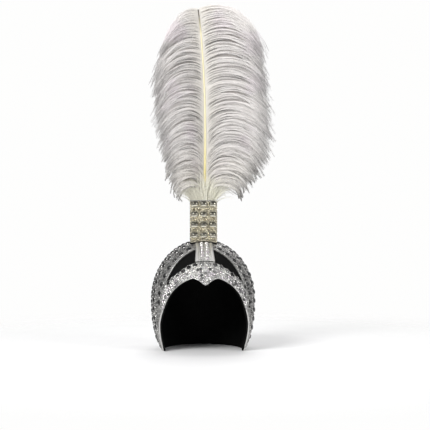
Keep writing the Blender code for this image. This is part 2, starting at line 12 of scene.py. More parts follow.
import bpy
import numpy as np
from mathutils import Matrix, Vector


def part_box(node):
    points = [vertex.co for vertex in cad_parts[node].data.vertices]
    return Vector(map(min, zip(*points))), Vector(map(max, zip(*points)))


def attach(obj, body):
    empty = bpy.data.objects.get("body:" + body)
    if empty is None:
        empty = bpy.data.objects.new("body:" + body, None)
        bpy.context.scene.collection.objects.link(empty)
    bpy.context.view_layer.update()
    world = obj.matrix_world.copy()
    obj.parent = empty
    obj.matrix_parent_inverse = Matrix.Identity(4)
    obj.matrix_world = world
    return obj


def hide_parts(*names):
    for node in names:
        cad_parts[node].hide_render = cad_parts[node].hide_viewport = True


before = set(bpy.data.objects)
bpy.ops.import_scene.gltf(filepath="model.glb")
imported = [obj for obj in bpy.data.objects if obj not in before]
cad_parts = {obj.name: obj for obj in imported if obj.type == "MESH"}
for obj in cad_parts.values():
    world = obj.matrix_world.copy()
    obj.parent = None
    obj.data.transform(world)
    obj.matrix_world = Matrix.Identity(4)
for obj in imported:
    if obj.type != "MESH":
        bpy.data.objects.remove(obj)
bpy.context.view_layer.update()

# %% [markdown]
# ## Sizes that the looks share with the solids
#
# Nothing is measured on the meshes of the solids. The helmet is a formula, an ellipsoid above its widest
# height and a barrel below, so that cloth, hems and stones can be laid on it at any point. The named
# sizes below are those of the solids, and the boxes of two nodes say where the helmet's middle is.

# %% Sizes of the helmet
HALF_WIDTH = 0.0821
FRONT_DEPTH = 0.0960
BACK_DEPTH = 0.1040
WIDEST_HEIGHT = 0.0850
DOME_RISE = 0.0946
RIM_TUCK = 0.178
TUCK_POWER = 2.4
HELMET_HEIGHT = WIDEST_HEIGHT + DOME_RISE
BASE_WALL = 0.0022
PANEL_IN = 0.0007
PANEL_OUT = 0.0025
EDGE_REVEAL = 0.0012
CLEARANCE = 0.0003

ROW_STONE = 0.0080
ROW_SPACE = 0.0090
COLUMN_STEP = 0.0075
ARCH_HEM = 0.0030
STONE_ROWS = 4
STONE_RISE = 0.0030

HOLDER_WIDTH = 0.0430
HOLDER_DEPTH = 0.0170
HOLDER_BACK_SHIFT = 0.0145

cap_low, cap_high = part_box("base_cap")
holder_low, holder_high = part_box("plume_holder")
MIDDLE_X = (cap_low.x + cap_high.x) / 2
MIDDLE_Y = (holder_low.y + holder_high.y) / 2 + HOLDER_BACK_SHIFT
MIDDLE = np.array([MIDDLE_X, MIDDLE_Y, 0.0])
HOLDER_TOP = holder_high.z
print("helmet's middle", MIDDLE.round(4), "sleeve's mouth at", round(HOLDER_TOP, 4))

# %% [markdown]
# ## Outlines, in short tables
#
# Each table is a listed curve: a smooth line runs through its rows. They are the same lines that
# the solids follow, so cloth and stones end where the helmet does.

# %% Tables
Edge = namedtuple("Edge", "turn height")
Arch = namedtuple("Arch", "height forward")
Crest = namedtuple("Crest", "along height")
Bend = namedtuple("Bend", "height side")
Fan = namedtuple("Fan", "root reach out rise far hold drop")

FACE_EDGE = (
    Edge(0.0, 0.628), Edge(3.0, 0.640), Edge(8.0, 0.669), Edge(15.2, 0.687), Edge(23.0, 0.667),
    Edge(31.5, 0.628), Edge(39.3, 0.571), Edge(45.5, 0.508), Edge(52.0, 0.422), Edge(56.0, 0.367),
    Edge(60.5, 0.306), Edge(65.7, 0.217), Edge(69.0, 0.122), Edge(71.5, 0.050), Edge(74.5, 0.0),
)
ARCH_EDGE = (
    Arch(0.00, 0.589), Arch(0.389, 0.589), Arch(0.628, 0.596), Arch(0.723, 0.594), Arch(0.806, 0.565),
    Arch(0.867, 0.536), Arch(0.917, 0.505), Arch(0.953, 0.4635), Arch(1.02, 0.38),
)
BROW_TOP = (
    Crest(0.0, 0.838), Crest(0.15, 0.837), Crest(0.277, 0.832), Crest(0.463, 0.811), Crest(0.621, 0.773),
    Crest(0.748, 0.733), Crest(0.836, 0.702), Crest(0.93, 0.658), Crest(1.0, 0.620),
)


def curve_through(table, at, column=1):
    """Smooth value of a column between the rows of a table, held level past its ends."""
    xs = [row[0] for row in table]
    ys = [row[column] for row in table]
    slopes = []
    for k in range(len(xs)):
        a, b = max(0, k - 1), min(len(xs) - 1, k + 1)
        slopes.append((ys[b] - ys[a]) / (xs[b] - xs[a]))
    at = np.clip(np.asarray(at, float), xs[0], xs[-1])
    k = np.clip(np.searchsorted(xs, at, side="right") - 1, 0, len(xs) - 2)
    xs, ys, slopes = np.array(xs), np.array(ys), np.array(slopes)
    span = xs[k + 1] - xs[k]
    t = (at - xs[k]) / span
    return (
        (2 * t**3 - 3 * t**2 + 1) * ys[k] + (t**3 - 2 * t**2 + t) * span * slopes[k]
        + (3 * t**2 - 2 * t**3) * ys[k + 1] + (t**3 - t**2) * span * slopes[k + 1]
    )


print("the face edge is", round(float(curve_through(FACE_EDGE, 0.0)) * HELMET_HEIGHT, 4), "high in the middle")

# %% [markdown]
# ## The helmet's skin as a formula
#
# A place on the helmet is a turn, the angle from the middle of the face, and a level: -1 at the rim, 0 at
# the widest height, 1 at the top. `skin` gives the point that lies a distance out from the black helmet
# there, and `outward` the direction that points away from it.

# %% The skin
def level_of(height, out=PANEL_OUT):
    high = np.arcsin(np.clip((height - WIDEST_HEIGHT) / (DOME_RISE + out), 0, 1)) / (math.pi / 2)
    return np.where(height < WIDEST_HEIGHT, height / WIDEST_HEIGHT - 1, high)


def size_at(level):
    return np.where(level < 0, 1 - RIM_TUCK * np.maximum(-level, 0) ** TUCK_POWER,
                    np.cos(np.clip(level, 0, 1) * math.pi / 2))


def depth_towards(y, out):
    return np.where(y < 0, FRONT_DEPTH, BACK_DEPTH) + out


def skin(turn, level, out):
    turn, level = np.broadcast_arrays(np.asarray(turn, float), np.asarray(level, float))
    share = size_at(level)
    depth = depth_towards(-np.cos(turn), out)
    high = WIDEST_HEIGHT + (DOME_RISE + out) * np.sin(np.clip(level, 0, 1) * math.pi / 2)
    height = np.where(level < 0, WIDEST_HEIGHT * (1 + level), high)
    x = (HALF_WIDTH + out) * share * np.sin(turn)
    return np.stack([x, -depth * share * np.cos(turn), height], -1) + MIDDLE


def unit(v):
    return v / np.maximum(np.linalg.norm(v, axis=-1, keepdims=True), 1e-12)


def outward(points):
    """Direction away from the helmet at points on or near its skin."""
    p = np.asarray(points, float) - MIDDLE
    depth = depth_towards(p[..., 1], 0)
    below = np.minimum(p[..., 2] - WIDEST_HEIGHT, 0) / WIDEST_HEIGHT
    share = size_at(below)
    flat = np.stack([p[..., 0] / HALF_WIDTH**2, p[..., 1] / depth**2, np.zeros(p.shape[:-1])], -1)
    pull = share * RIM_TUCK * TUCK_POWER * np.maximum(-below, 0) ** (TUCK_POWER - 1) / WIDEST_HEIGHT
    flat[..., 2] = np.where(p[..., 2] > WIDEST_HEIGHT, (p[..., 2] - WIDEST_HEIGHT) / DOME_RISE**2, -pull)
    return unit(flat)


def turn_at(y, level, out=PANEL_OUT):
    return np.arccos(np.clip(-y / (depth_towards(y, out) * size_at(level)), -1, 1))


def top_height(x, y, out=PANEL_OUT):
    inside = 1 - (x / (HALF_WIDTH + out)) ** 2 - (y / depth_towards(y, out)) ** 2
    return WIDEST_HEIGHT + (DOME_RISE + out) * np.sqrt(np.maximum(0.0, inside))


def on_top(x, y, out=PANEL_OUT):
    """Point of the skin over a place of the plan, measured from the helmet's middle."""
    x, y = np.broadcast_arrays(np.asarray(x, float), np.asarray(y, float))
    return np.stack([x, y, top_height(x, y, out)], -1) + MIDDLE


def face_height(turn):
    return HELMET_HEIGHT * curve_through(FACE_EDGE, np.abs(np.degrees(turn)))


def arch_forward(height):
    return FRONT_DEPTH * curve_through(ARCH_EDGE, np.asarray(height) / HELMET_HEIGHT)


def seam_turn(height):
    """Turn of the crown's front edge at a height."""
    return turn_at(-arch_forward(height), level_of(height))


print("the crown's front edge stands", round(float(arch_forward(HELMET_HEIGHT)), 4), "forward at the top")

# %% [markdown]
# ## From arrays to pieces
#
# The headdress has thousands of stones and barbs. Making each with an operator would take minutes, so
# points and faces are worked out as whole arrays and handed to Blender at once. `add_piece` makes the
# object, gives it its finish, lets it ride on the one rigid body and hides the solid it stands for.

# %% Mesh helpers
RNG = np.random.default_rng(545)


def add_piece(name, points, faces, finish, slot, stands_for=(), smooth=False, values=None):
    """An object from points and arrays of faces, each array with one number of corners."""
    points = np.asarray(points, np.float32).reshape(-1, 3)
    faces = [np.asarray(f, np.int32) for f in faces if len(f)]
    corners = np.concatenate([f.ravel() for f in faces])
    sizes = np.concatenate([np.full(len(f), f.shape[1]) for f in faces])
    mesh = bpy.data.meshes.new(name)
    mesh.vertices.add(len(points))
    mesh.vertices.foreach_set("co", points.ravel())
    mesh.loops.add(len(corners))
    mesh.loops.foreach_set("vertex_index", corners)
    mesh.polygons.add(len(sizes))
    mesh.polygons.foreach_set("loop_start", np.concatenate([[0], np.cumsum(sizes)[:-1]]).astype(np.int32))
    mesh.update(calc_edges=True)
    for key, data in (values or {}).items():
        layer = mesh.attributes.new(key, "FLOAT", "POINT")
        layer.data.foreach_set("value", np.asarray(data, np.float32).ravel())
    mesh.materials.append(finish)
    if smooth:
        mesh.shade_smooth()
        mesh.set_sharp_from_angle(angle=math.radians(40))
    made = bpy.data.objects.new(name, mesh)
    bpy.context.scene.collection.objects.link(made)
    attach(made, "root")
    if stands_for:
        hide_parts(*stands_for)
    print(name, "has", int((sizes - 2).sum()), "triangles")
    return made


def grid_faces(rows, columns, closed_rows=False, closed_columns=False, start=0):
    """Quads of a grid of points, numbered row by row."""
    r = np.arange(rows if closed_rows else rows - 1)
    c = np.arange(columns if closed_columns else columns - 1)
    r, c = np.meshgrid(r, c, indexing="ij")
    r, c = r.ravel(), c.ravel()
    r1, c1 = (r + 1) % rows, (c + 1) % columns
    return np.stack([r * columns + c, r * columns + c1, r1 * columns + c1, r1 * columns + c], -1) + start


def sheet(turn, level, inner=PANEL_IN, outer=PANEL_OUT):
    """Closed sheet of cloth over a grid of places: outer face, inner face and the edge between them."""
    rows, columns = turn.shape
    outside, inside = skin(turn, level, outer), skin(turn, level, inner)
    points = np.concatenate([outside.reshape(-1, 3), inside.reshape(-1, 3)])
    count = rows * columns
    up = grid_faces(rows, columns)
    number = np.arange(count).reshape(rows, columns)
    loop = np.concatenate([number[0, :-1], number[:-1, -1], number[-1, :0:-1], number[:0:-1, 0]])
    after = np.roll(loop, -1)
    edge = np.stack([after, loop, loop + count, after + count], -1)
    return points, [up, up[:, ::-1] + count, edge]


def tube(points, radius, sides=8, flat=1.0, closed=False, up=None):
    """Round cord along points, pressed flat by a share towards the helmet or against the direction up."""
    points = np.asarray(points, float)
    ahead = unit(np.roll(points, -1, 0) - np.roll(points, 1, 0)) if closed else unit(np.gradient(points, axis=0))
    up = outward(points) if up is None else np.broadcast_to(up, points.shape)
    radius = np.reshape(np.broadcast_to(radius, len(points)), (-1, 1, 1))
    across = unit(np.cross(ahead, up))
    up = np.cross(across, ahead)
    angle = np.linspace(0, 2 * math.pi, sides, endpoint=False)
    ring = (across[:, None] * np.cos(angle)[None, :, None] + flat * up[:, None] * np.sin(angle)[None, :, None])
    made = points[:, None] + radius * ring
    faces = [grid_faces(len(points), sides, closed_rows=closed, closed_columns=True)]
    if not closed:
        last = (len(points) - 1) * sides
        faces.append(np.array([np.arange(sides)[::-1], last + np.arange(sides)]))
    return made.reshape(-1, 3), faces


def join(parts):
    """Joins (points, faces) pairs into one."""
    points, faces, start = [], {}, 0
    for p, fs in parts:
        points.append(p)
        for f in fs:
            faces.setdefault(f.shape[1], []).append(f + start)
        start += len(p)
    return np.concatenate(points), [np.concatenate(f) for f in faces.values()]


def spread(points, pitch, first=0.0):
    """Places at an even pitch along a line of points, with the direction of the line there."""
    points = np.asarray(points, float)
    gone = np.concatenate([[0], np.cumsum(np.linalg.norm(np.diff(points, axis=0), axis=1))])
    count = max(2, int(round((gone[-1] - 2 * first) / pitch)) + 1)
    at = np.linspace(first, gone[-1] - first, count)
    placed = np.stack([np.interp(at, gone, points[:, k]) for k in range(3)], -1)
    nearby = np.stack([np.interp(at + 1e-4, gone, points[:, k]) for k in range(3)], -1)
    before = np.stack([np.interp(at - 1e-4, gone, points[:, k]) for k in range(3)], -1)
    return placed, unit(nearby - before)


# %% [markdown]
# ## Cut stones
#
# A foiled glass stone is a flat-backed gem with a table and sloped facets round it. Its outline is a
# polygon and its cut a short table of tiers, each a share of the outline and of the height. One template
# is then set down at every place at once, turned to lie on the cloth.

# %% Stone templates
Tier = namedtuple("Tier", "scale lift")

ROUND_CUT = (Tier(1.0, 0.0), Tier(1.0, 0.28), Tier(0.80, 0.72), Tier(0.50, 1.0))
STEP_CUT = (Tier(1.0, 0.0), Tier(1.0, 0.30), Tier(0.86, 0.62), Tier(0.70, 0.86), Tier(0.52, 1.0))
RIM = (Tier(1.0, 0.0), Tier(1.14, 0.0), Tier(1.14, 0.40), Tier(1.07, 0.62), Tier(1.0, 0.48))


def polygon(sides, radius=0.5):
    angle = (np.arange(sides) + 0.5) * 2 * math.pi / sides
    return np.stack([np.cos(angle), np.sin(angle)], -1) * radius


def cut_square(corner=0.17):
    """Square one across with its corners cut."""
    a, b = 0.5, 0.5 - corner
    return np.array([(a, -b), (a, b), (b, a), (-b, a), (-a, b), (-a, -b), (-b, -a), (b, -a)])


def gem(outline, tiers):
    count = len(outline)
    points = np.concatenate([np.column_stack([outline * t.scale, np.full(count, t.lift)]) for t in tiers])
    last = (len(tiers) - 1) * count
    caps = np.array([np.arange(count)[::-1], last + np.arange(count)])
    return points, [grid_faces(len(tiers), count, closed_columns=True), caps]


def ring(outline, tiers):
    count = len(outline)
    points = np.concatenate([np.column_stack([outline * t.scale, np.full(count, t.lift)]) for t in tiers])
    return points, [grid_faces(len(tiers), count, closed_rows=True, closed_columns=True)]


def set_down(template, centres, along, size, height, up=None, sink=0.0):
    """Copies of a template at every centre. Size may be one number, a pair, or a row for each copy."""
    points, faces = template
    centres = np.asarray(centres, float)
    up = outward(centres) if up is None else np.broadcast_to(up, centres.shape)
    along = unit(along - up * np.sum(along * up, -1, keepdims=True))
    across = np.cross(up, along)
    size = np.broadcast_to(np.asarray(size, float), (len(centres), 2)) if np.ndim(size) != 1 or len(size) == 2 \
        else np.stack([size, size], -1)
    height = np.broadcast_to(height, len(centres))
    placed = (
        centres[:, None]
        + along[:, None] * (points[None, :, 0] * size[:, :1])[..., None]
        + across[:, None] * (points[None, :, 1] * size[:, 1:])[..., None]
        + up[:, None] * (points[None, :, 2] * height[:, None] - sink)[..., None]
    )
    shift = (np.arange(len(centres)) * len(points))[:, None, None]
    return placed.reshape(-1, 3), [(f[None] + shift).reshape(-1, f.shape[1]) for f in faces]


ROUND_STONE = gem(polygon(10), ROUND_CUT)
SMALL_STONE = gem(polygon(8), (Tier(1.0, 0.0), Tier(1.0, 0.3), Tier(0.55, 1.0)))
SQUARE_STONE = gem(cut_square(), STEP_CUT)
SQUARE_RIM = ring(cut_square(), RIM)
ROUND_RIM = ring(polygon(10), RIM)
print("a square stone has", len(SQUARE_STONE[0]), "points")

# %% [markdown]
# ## Shader maths as Python
#
# `Wire` wraps one socket of a material. Adding or multiplying wires adds Math nodes, so a finish reads as
# a formula. Every other node comes from `node`, which takes its type, its settings and its sockets.

# %% The wire
class Wire:
    def __init__(self, tree, socket=None):
        self.tree, self.socket = tree, socket

    def node(self, kind, settings=None, sockets=None, out=0):
        made = self.tree.nodes.new("ShaderNode" + kind)
        for key, value in (settings or {}).items():
            if key == "stops":
                ramp = made.color_ramp
                while len(ramp.elements) < len(value):
                    ramp.elements.new(1.0)
                for element, (at, colour) in zip(ramp.elements, value):
                    element.position = at
                    element.color = colour
            else:
                setattr(made, key, value)
        for key, value in (sockets or {}).items():
            if isinstance(value, Wire):
                self.tree.links.new(value.socket, made.inputs[key])
            else:
                made.inputs[key].default_value = value
        return Wire(self.tree, made.outputs[out])

    def maths(self, operation, *values):
        return self.node("Math", {"operation": operation}, dict(enumerate(values)))

    def __add__(self, other):
        return self.maths("ADD", self, other)

    def __sub__(self, other):
        return self.maths("SUBTRACT", self, other)

    def __mul__(self, other):
        return self.maths("MULTIPLY", self, other)

    def __pow__(self, other):
        return self.maths("POWER", self, other)

    def __rsub__(self, other):
        return self.maths("SUBTRACT", other, self)

    __radd__, __rmul__ = __add__, __mul__

    def between(self, low, high):
        """0 below low and 1 above high, smooth between."""
        return self.node("MapRange", {"interpolation_type": "SMOOTHSTEP"},
                         {"Value": self, "From Min": low, "From Max": high})

    def blend(self, first, second):
        """Colour that goes from first to second as this value goes from 0 to 1."""
        return self.node("Mix", {"data_type": "RGBA"}, {0: self, 6: first, 7: second}, out=2)


def colour(r, g, b):
    return (r, g, b, 1.0)


def finish(name, **fixed):
    """A material with its shader's constant sockets set. Returns it, a wire into it and the shader."""
    made = bpy.data.materials.new(name)
    made.use_nodes = True
    shader = made.node_tree.nodes["Principled BSDF"]
    for key, value in fixed.items():
        shader.inputs[key.replace("_", " ").title().replace("Ior", "IOR")].default_value = value
    return made, Wire(made.node_tree), shader


def feed(shader, **wires):
    for key, wire in wires.items():
        wire.tree.links.new(wire.socket, shader.inputs[key.replace("_", " ").title()])


def place_of(w, scale=1.0):
    """Position on the object, times a scale, as a vector."""
    spot = w.node("TexCoord", out="Object")
    return w.node("VectorMath", {"operation": "SCALE"}, {0: spot, "Scale": scale})


def value_of(w, name):
    return w.node("Attribute", {"attribute_name": name}, out="Fac")


def noise(w, size, detail=2.0, stretch=(1.0, 1.0, 1.0)):
    """Cloudy pattern whose blotches are about size across, in metres."""
    spot = w.node("VectorMath", {"operation": "MULTIPLY"}, {0: w.node("TexCoord", out="Object"), 1: stretch})
    return w.node("TexNoise", {}, {"Vector": spot, "Scale": 1 / size, "Detail": detail})


def bump(w, height, depth, strength=1.0):
    return w.node("Bump", {}, {"Height": height, "Distance": depth, "Strength": strength})



# %% [markdown]
# ## Finishes of the helmet
#
# The base is black satin stretched over a stiff form: dark, with a soft gloss and a fine weave. The silver
# is foil cloth embossed with a slanting lattice, polished on its ridges and grainy between them. It is
# metal to the eye, so its colour comes from what it mirrors. A metallic shader with uneven roughness and a
# bumped lattice gives that at little cost.

# %% Cloth and metal finishes
def weave(w, pitch):
    """Height of a plain weave, 0 to 1, from two crossed waves."""
    spot = place_of(w)
    lengthwise = w.node("TexWave", {"bands_direction": "Z"}, {"Vector": spot, "Scale": 0.05 / pitch})
    crosswise = w.node("TexWave", {"bands_direction": "X"}, {"Vector": spot, "Scale": 0.05 / pitch})
    return (lengthwise + crosswise) * 0.5


def lattice(w, pitch, width):
    """1 on the ridges of a slanting lattice laid out by the piece's own along and away values."""
    along, away = value_of(w, "along"), value_of(w, "away")
    ridges = None
    for slant in (along + away, along - away):
        from_ridge = w.maths("PINGPONG", slant, pitch / 2)
        line = 1 - from_ridge.between(width * 0.25, width)
        ridges = line if ridges is None else w.maths("MAXIMUM", ridges, line)
    return ridges


def black_satin():
    made, w, shader = finish("black_satin", ior=1.45, specular_ior_level=0.06)
    cloudy = noise(w, 0.018, 3.0)
    feed(shader, base_color=cloudy.blend(colour(0.002, 0.002, 0.002), colour(0.009, 0.009, 0.009)),
         roughness=cloudy * 0.2 + 0.5, normal=bump(w, weave(w, 0.0007), 0.0001, 0.5))
    return made


def silver_cloth(name, pale, dark, bright, pitch):
    made, w, shader = finish(name, metallic=0.9)
    ridge = lattice(w, pitch, 0.0011)
    grain = noise(w, 0.0006, 1.0)
    cloudy = noise(w, 0.012, 3.0)
    between = (grain * 0.6 + cloudy * 0.6).blend(dark, pale)
    feed(shader, base_color=ridge.blend(between, bright),
         roughness=0.42 - ridge * 0.22 + grain * 0.15,
         normal=bump(w, ridge + grain * 0.3, 0.0005, 0.8))
    return made


def bright_metal(name, tone, rough):
    made, w, shader = finish(name, metallic=1.0)
    scratched = noise(w, 0.004, 4.0)
    feed(shader, base_color=scratched.blend(colour(*[t * 0.8 for t in tone]), colour(*tone)),
         roughness=scratched * 0.15 + rough, normal=bump(w, noise(w, 0.0009, 1.0), 0.00008, 0.5))
    return made


BLACK = black_satin()
SILVER = silver_cloth("silver_cloth", colour(0.34, 0.335, 0.32), colour(0.10, 0.10, 0.095),
                      colour(0.62, 0.615, 0.60), COLUMN_STEP)
BROW = silver_cloth("brow_cloth", colour(0.55, 0.545, 0.52), colour(0.20, 0.20, 0.19),
                    colour(0.80, 0.79, 0.77), 0.0046)
METAL = bright_metal("silver_rim", (0.80, 0.79, 0.77), 0.18)
SATIN_METAL = bright_metal("silver_hem", (0.80, 0.79, 0.77), 0.36)
print("cloth and metal finishes made")

# %% [markdown]
# ## Finishes of the stones
#
# A foiled stone shows dark and bright facets side by side. The dark ones here are smoky glass that mirrors
# only at its edges. The clear ones act as small mirrors, each a little lighter or darker than the next:
# every stone carries a random value that shifts its colour. The large champagne stones carry a painted
# reflection: their upper facets are painted dark and their lower ones bright, with noisy painted glints.

# %% Stone finishes
def smoky_glass():
    made, w, shader = finish("smoky_stone", ior=1.6, specular_ior_level=0.35, coat_weight=0.15, coat_roughness=0.03)
    tone = value_of(w, "tone")
    feed(shader, base_color=tone.blend(colour(0.001, 0.001, 0.001), colour(0.012, 0.012, 0.012)),
         roughness=tone * 0.1 + 0.05)
    return made


def foiled_stone(name, dark, pale, tint, rough=0.1):
    made, w, shader = finish(name, metallic=1.0)
    tone = value_of(w, "tone")
    plain = tone.between(0.05, 0.9).blend(dark, pale)
    tinted = w.maths("PINGPONG", tone * 7, 1.0).between(0.55, 1.0).blend(plain, tint)
    feed(shader, base_color=tinted, roughness=tone * 0.12 + rough)
    return made


def champagne_gem():
    made, w, shader = finish("champagne_gem", metallic=0.85, coat_weight=1.0, coat_roughness=0.03)
    # Painted reflection: base colour is dark on facets that face up and bright on facets that face down, broken up by
    # noise into painted glints.
    facing = w.node("NewGeometry", out="Normal")
    up = w.node("SeparateXYZ", {}, {0: facing}, out="Z")
    glint_and_roughness_noise = noise(w, 0.0022, 1.0)
    painted_facet_reflection = (0.5 - up * 0.6 + (glint_and_roughness_noise - 0.5) * 0.9).between(0.25, 0.8)
    feed(shader, base_color=painted_facet_reflection.blend(colour(0.05, 0.045, 0.03), colour(0.97, 0.93, 0.78)),
         roughness=glint_and_roughness_noise * 0.15 + 0.05)
    return made


def champagne_cloth():
    made, w, shader = finish("champagne_glitter", metallic=0.85)
    grain = w.node("TexVoronoi", {}, {"Vector": place_of(w), "Scale": 1 / 0.0011}, out="Color")
    level = w.node("SeparateColor", {}, {0: grain}, out=0)
    feed(shader, base_color=level.blend(colour(0.30, 0.27, 0.19), colour(0.86, 0.81, 0.66)),
         roughness=level * 0.35 + 0.2, normal=bump(w, level, 0.0003, 0.9))
    return made


SMOKY = smoky_glass()
CLEAR = foiled_stone("clear_stone", colour(0.05, 0.05, 0.05), colour(0.50, 0.495, 0.48), colour(0.36, 0.34, 0.345))
BROW_STONE = foiled_stone("brow_stone", colour(0.12, 0.12, 0.12), colour(0.80, 0.795, 0.77),
                          colour(0.60, 0.565, 0.59))
BROW_DARK = foiled_stone("brow_stone_dark", colour(0.02, 0.02, 0.02), colour(0.34, 0.34, 0.33),
                         colour(0.15, 0.15, 0.15), 0.08)
CHAMPAGNE = champagne_gem()
CHAMPAGNE_SMALL = foiled_stone("champagne_stone_small", colour(0.22, 0.19, 0.12), colour(0.95, 0.90, 0.74),
                               colour(0.66, 0.60, 0.45))
GLITTER = champagne_cloth()
print("stone finishes made")

# %% [markdown]
# ## The black helmet
#
# A dome pressed from stiffened cloth, 2 mm thick, with a satin face outside and in. A grid runs from the
# face edge or the rim to the top, once outside and once inside, and a ring of faces closes the edge.
# The opening's edge is bound with a narrow black cord, and a tape covers the seam inside.

# %% Helmet shell, binding and inner tape
FACE_END = math.radians(FACE_EDGE[-1].turn)


def helmet_shell(rows=70, columns=220):
    turn = np.linspace(-math.pi, math.pi, columns, endpoint=False)
    low = level_of(face_height(turn), 0.0)
    share = (np.arange(rows) / rows)[:, None]
    level = low[None] + (1 - low[None]) * share
    sheets = [skin(np.broadcast_to(turn, level.shape), level, out).reshape(-1, 3) for out in (0.0, -BASE_WALL)]
    tops = [skin(0.0, 1.0, out)[None] for out in (0.0, -BASE_WALL)]
    up = grid_faces(rows, columns, closed_columns=True)
    count = rows * columns
    rim = np.arange(columns)
    after = (rim + 1) % columns
    last = count - columns
    fan = np.stack([last + rim, last + after, np.full(columns, 2 * count)], -1)
    fan_in = np.stack([last + after + count, last + rim + count, np.full(columns, 2 * count + 1)], -1)
    edge = np.stack([after, rim, rim + count, after + count], -1)
    points = np.concatenate(sheets + tops)
    return points, [np.concatenate([up, up[:, ::-1] + count, edge]), np.concatenate([fan, fan_in])]


def opening_line(out, lift=0.0, samples=420):
    """Points round the whole lower edge of the helmet."""
    turn = np.linspace(-math.pi, math.pi, samples, endpoint=False)
    return skin(turn, level_of(face_height(turn) + lift, 0.0), out)


points, faces = helmet_shell()
add_piece("helmet_shell", points, faces, BLACK, "black_base", ["base_cap"], smooth=True)
points, faces = tube(opening_line(-BASE_WALL / 2, 0.0011), 0.0015, closed=True)
add_piece("edge_binding", points, faces, BLACK, "black_base", smooth=True)

tape_turn, tape_share = np.meshgrid(np.linspace(-1, 1, 5), np.linspace(0, 1, 60))
tapes = []
for middle in (0.0, math.pi):
    foot = level_of(face_height(middle) + 0.004, 0.0)
    level = foot + (0.93 - foot) * tape_share
    half = 0.005 / (HALF_WIDTH * size_at(level))
    tapes.append(sheet(middle + tape_turn * half, level, -BASE_WALL - 0.0009, -BASE_WALL - 0.0001))
points, faces = join(tapes)
add_piece("lining_tape", points, faces, BLACK, "black_base", smooth=True)

# %% [markdown]
# ## The silver crown
#
# The crown is cut from one panel that runs over the top from ear to ear. Its lines are slices of the
# dome, each a distance behind the arched front edge, and the stones stand in rows between them. A line is
# found by walking down a slice and noting how far each height has come.

# %% Lines of the crown
TOP_FORWARD = float(arch_forward(HELMET_HEIGHT * ARCH_EDGE[-2].height))
CROWN_WIDTH = 2 * ARCH_HEM + STONE_ROWS * ROW_STONE + (STONE_ROWS - 1) * ROW_SPACE


def middle_y(distance):
    """y at which the line a distance behind the front edge crosses the middle."""
    at, gone, step = -TOP_FORWARD, 0.0, ARCH_HEM / 15
    while gone < distance:
        depth = float(depth_towards(at, PANEL_OUT))
        slope = (DOME_RISE + PANEL_OUT) * abs(at) / (depth**2 * math.sqrt(1 - (at / depth) ** 2))
        at += step / math.hypot(1.0, slope)
        gone += step
    return at


def crown_line(distance):
    """Length so far, turn and level at many places down one side of a line."""
    at = middle_y(distance)
    fade = max(0.0, 1 - distance / (2 * (ROW_STONE + ROW_SPACE)))
    low, high = WIDEST_HEIGHT, HELMET_HEIGHT + PANEL_OUT
    for _ in range(60):
        middle = (low + high) / 2
        y = at - (float(arch_forward(middle)) - TOP_FORWARD) * fade
        if float(depth_towards(y, PANEL_OUT) * size_at(level_of(middle))) > abs(y):
            low = middle
        else:
            high = middle
    height = low - (low - EDGE_REVEAL) * np.linspace(0, 1, 261) ** 2
    y = at - (arch_forward(height) - TOP_FORWARD) * fade
    level = level_of(height)
    turn = turn_at(y, level)
    turn[0] = 0.0 if y[0] < 0 else math.pi
    outside = (height < face_height(turn) + EDGE_REVEAL) & (turn < FACE_END)
    if outside.any():
        end = int(np.argmax(outside))
        height, level, turn = height[:end], level[:end], turn[:end]
    points = skin(turn, level, PANEL_OUT)
    gone = np.concatenate([[0], np.cumsum(np.linalg.norm(np.diff(points, axis=0), axis=1))])
    return gone, turn, level


def both_sides(line, gone):
    """Turns and levels at signed distances along a line from the middle."""
    length, turn, level = line
    gone = np.asarray(gone, float)
    turned = np.interp(np.abs(gone), length, turn)
    over = np.where(turn[0] > 1, 2 * math.pi - turned, -turned)
    return np.where(gone < 0, over, turned), np.interp(np.abs(gone), length, level)


def crown_panel(rows=42, columns=180):
    turns, levels, along, away = [], [], [], []
    for distance in np.linspace(0, CROWN_WIDTH, rows):
        line = crown_line(distance)
        at = line[0][-1] * np.linspace(-1, 1, columns + 1)
        turn, level = both_sides(line, at)
        turns.append(turn)
        levels.append(level)
        along.append(at)
        away.append(np.full(len(at), distance))
    points, faces = sheet(np.array(turns), np.array(levels))
    along, away = np.array(along).ravel(), np.array(away).ravel()
    return points, faces, {"along": np.tile(along, 2), "away": np.tile(away, 2)}, np.array(turns), np.array(levels)


points, faces, values, crown_turns, crown_levels = crown_panel()
add_piece("crown_cloth", points, faces, SILVER, "silver_stones", ["crown_cover"], True, values)

# %% [markdown]
# ## Stones of the crown
#
# Each row holds large smoky stones with a gap of one stone between them, and the next row is shifted by
# one, like a chequerboard. A bright rim holds each stone. A clear round stone fills each gap, and a chain
# of small clear stones runs between the rows.

# %% Stones of the crown
BAR_REACH = 0.0136 + STONE_RISE
HOLDER_REACH = HOLDER_WIDTH / 2 + STONE_RISE
HOLDER_FRONT = -HOLDER_BACK_SHIFT - HOLDER_DEPTH / 2


def under_other_pieces(points, margin=0.0):
    """True where a stone would lie under the centre bar or the plume's sleeve."""
    p = np.asarray(points) - MIDDLE
    near_sleeve = (np.abs(p[..., 1] + HOLDER_BACK_SHIFT) < HOLDER_DEPTH / 2 + STONE_RISE + margin)
    under_sleeve = near_sleeve & (np.abs(p[..., 0]) < HOLDER_REACH + margin)
    under_bar = (p[..., 1] < HOLDER_FRONT) & (np.abs(p[..., 0]) < BAR_REACH + margin)
    return (under_sleeve | under_bar) & (p[..., 2] > HELMET_HEIGHT / 2)


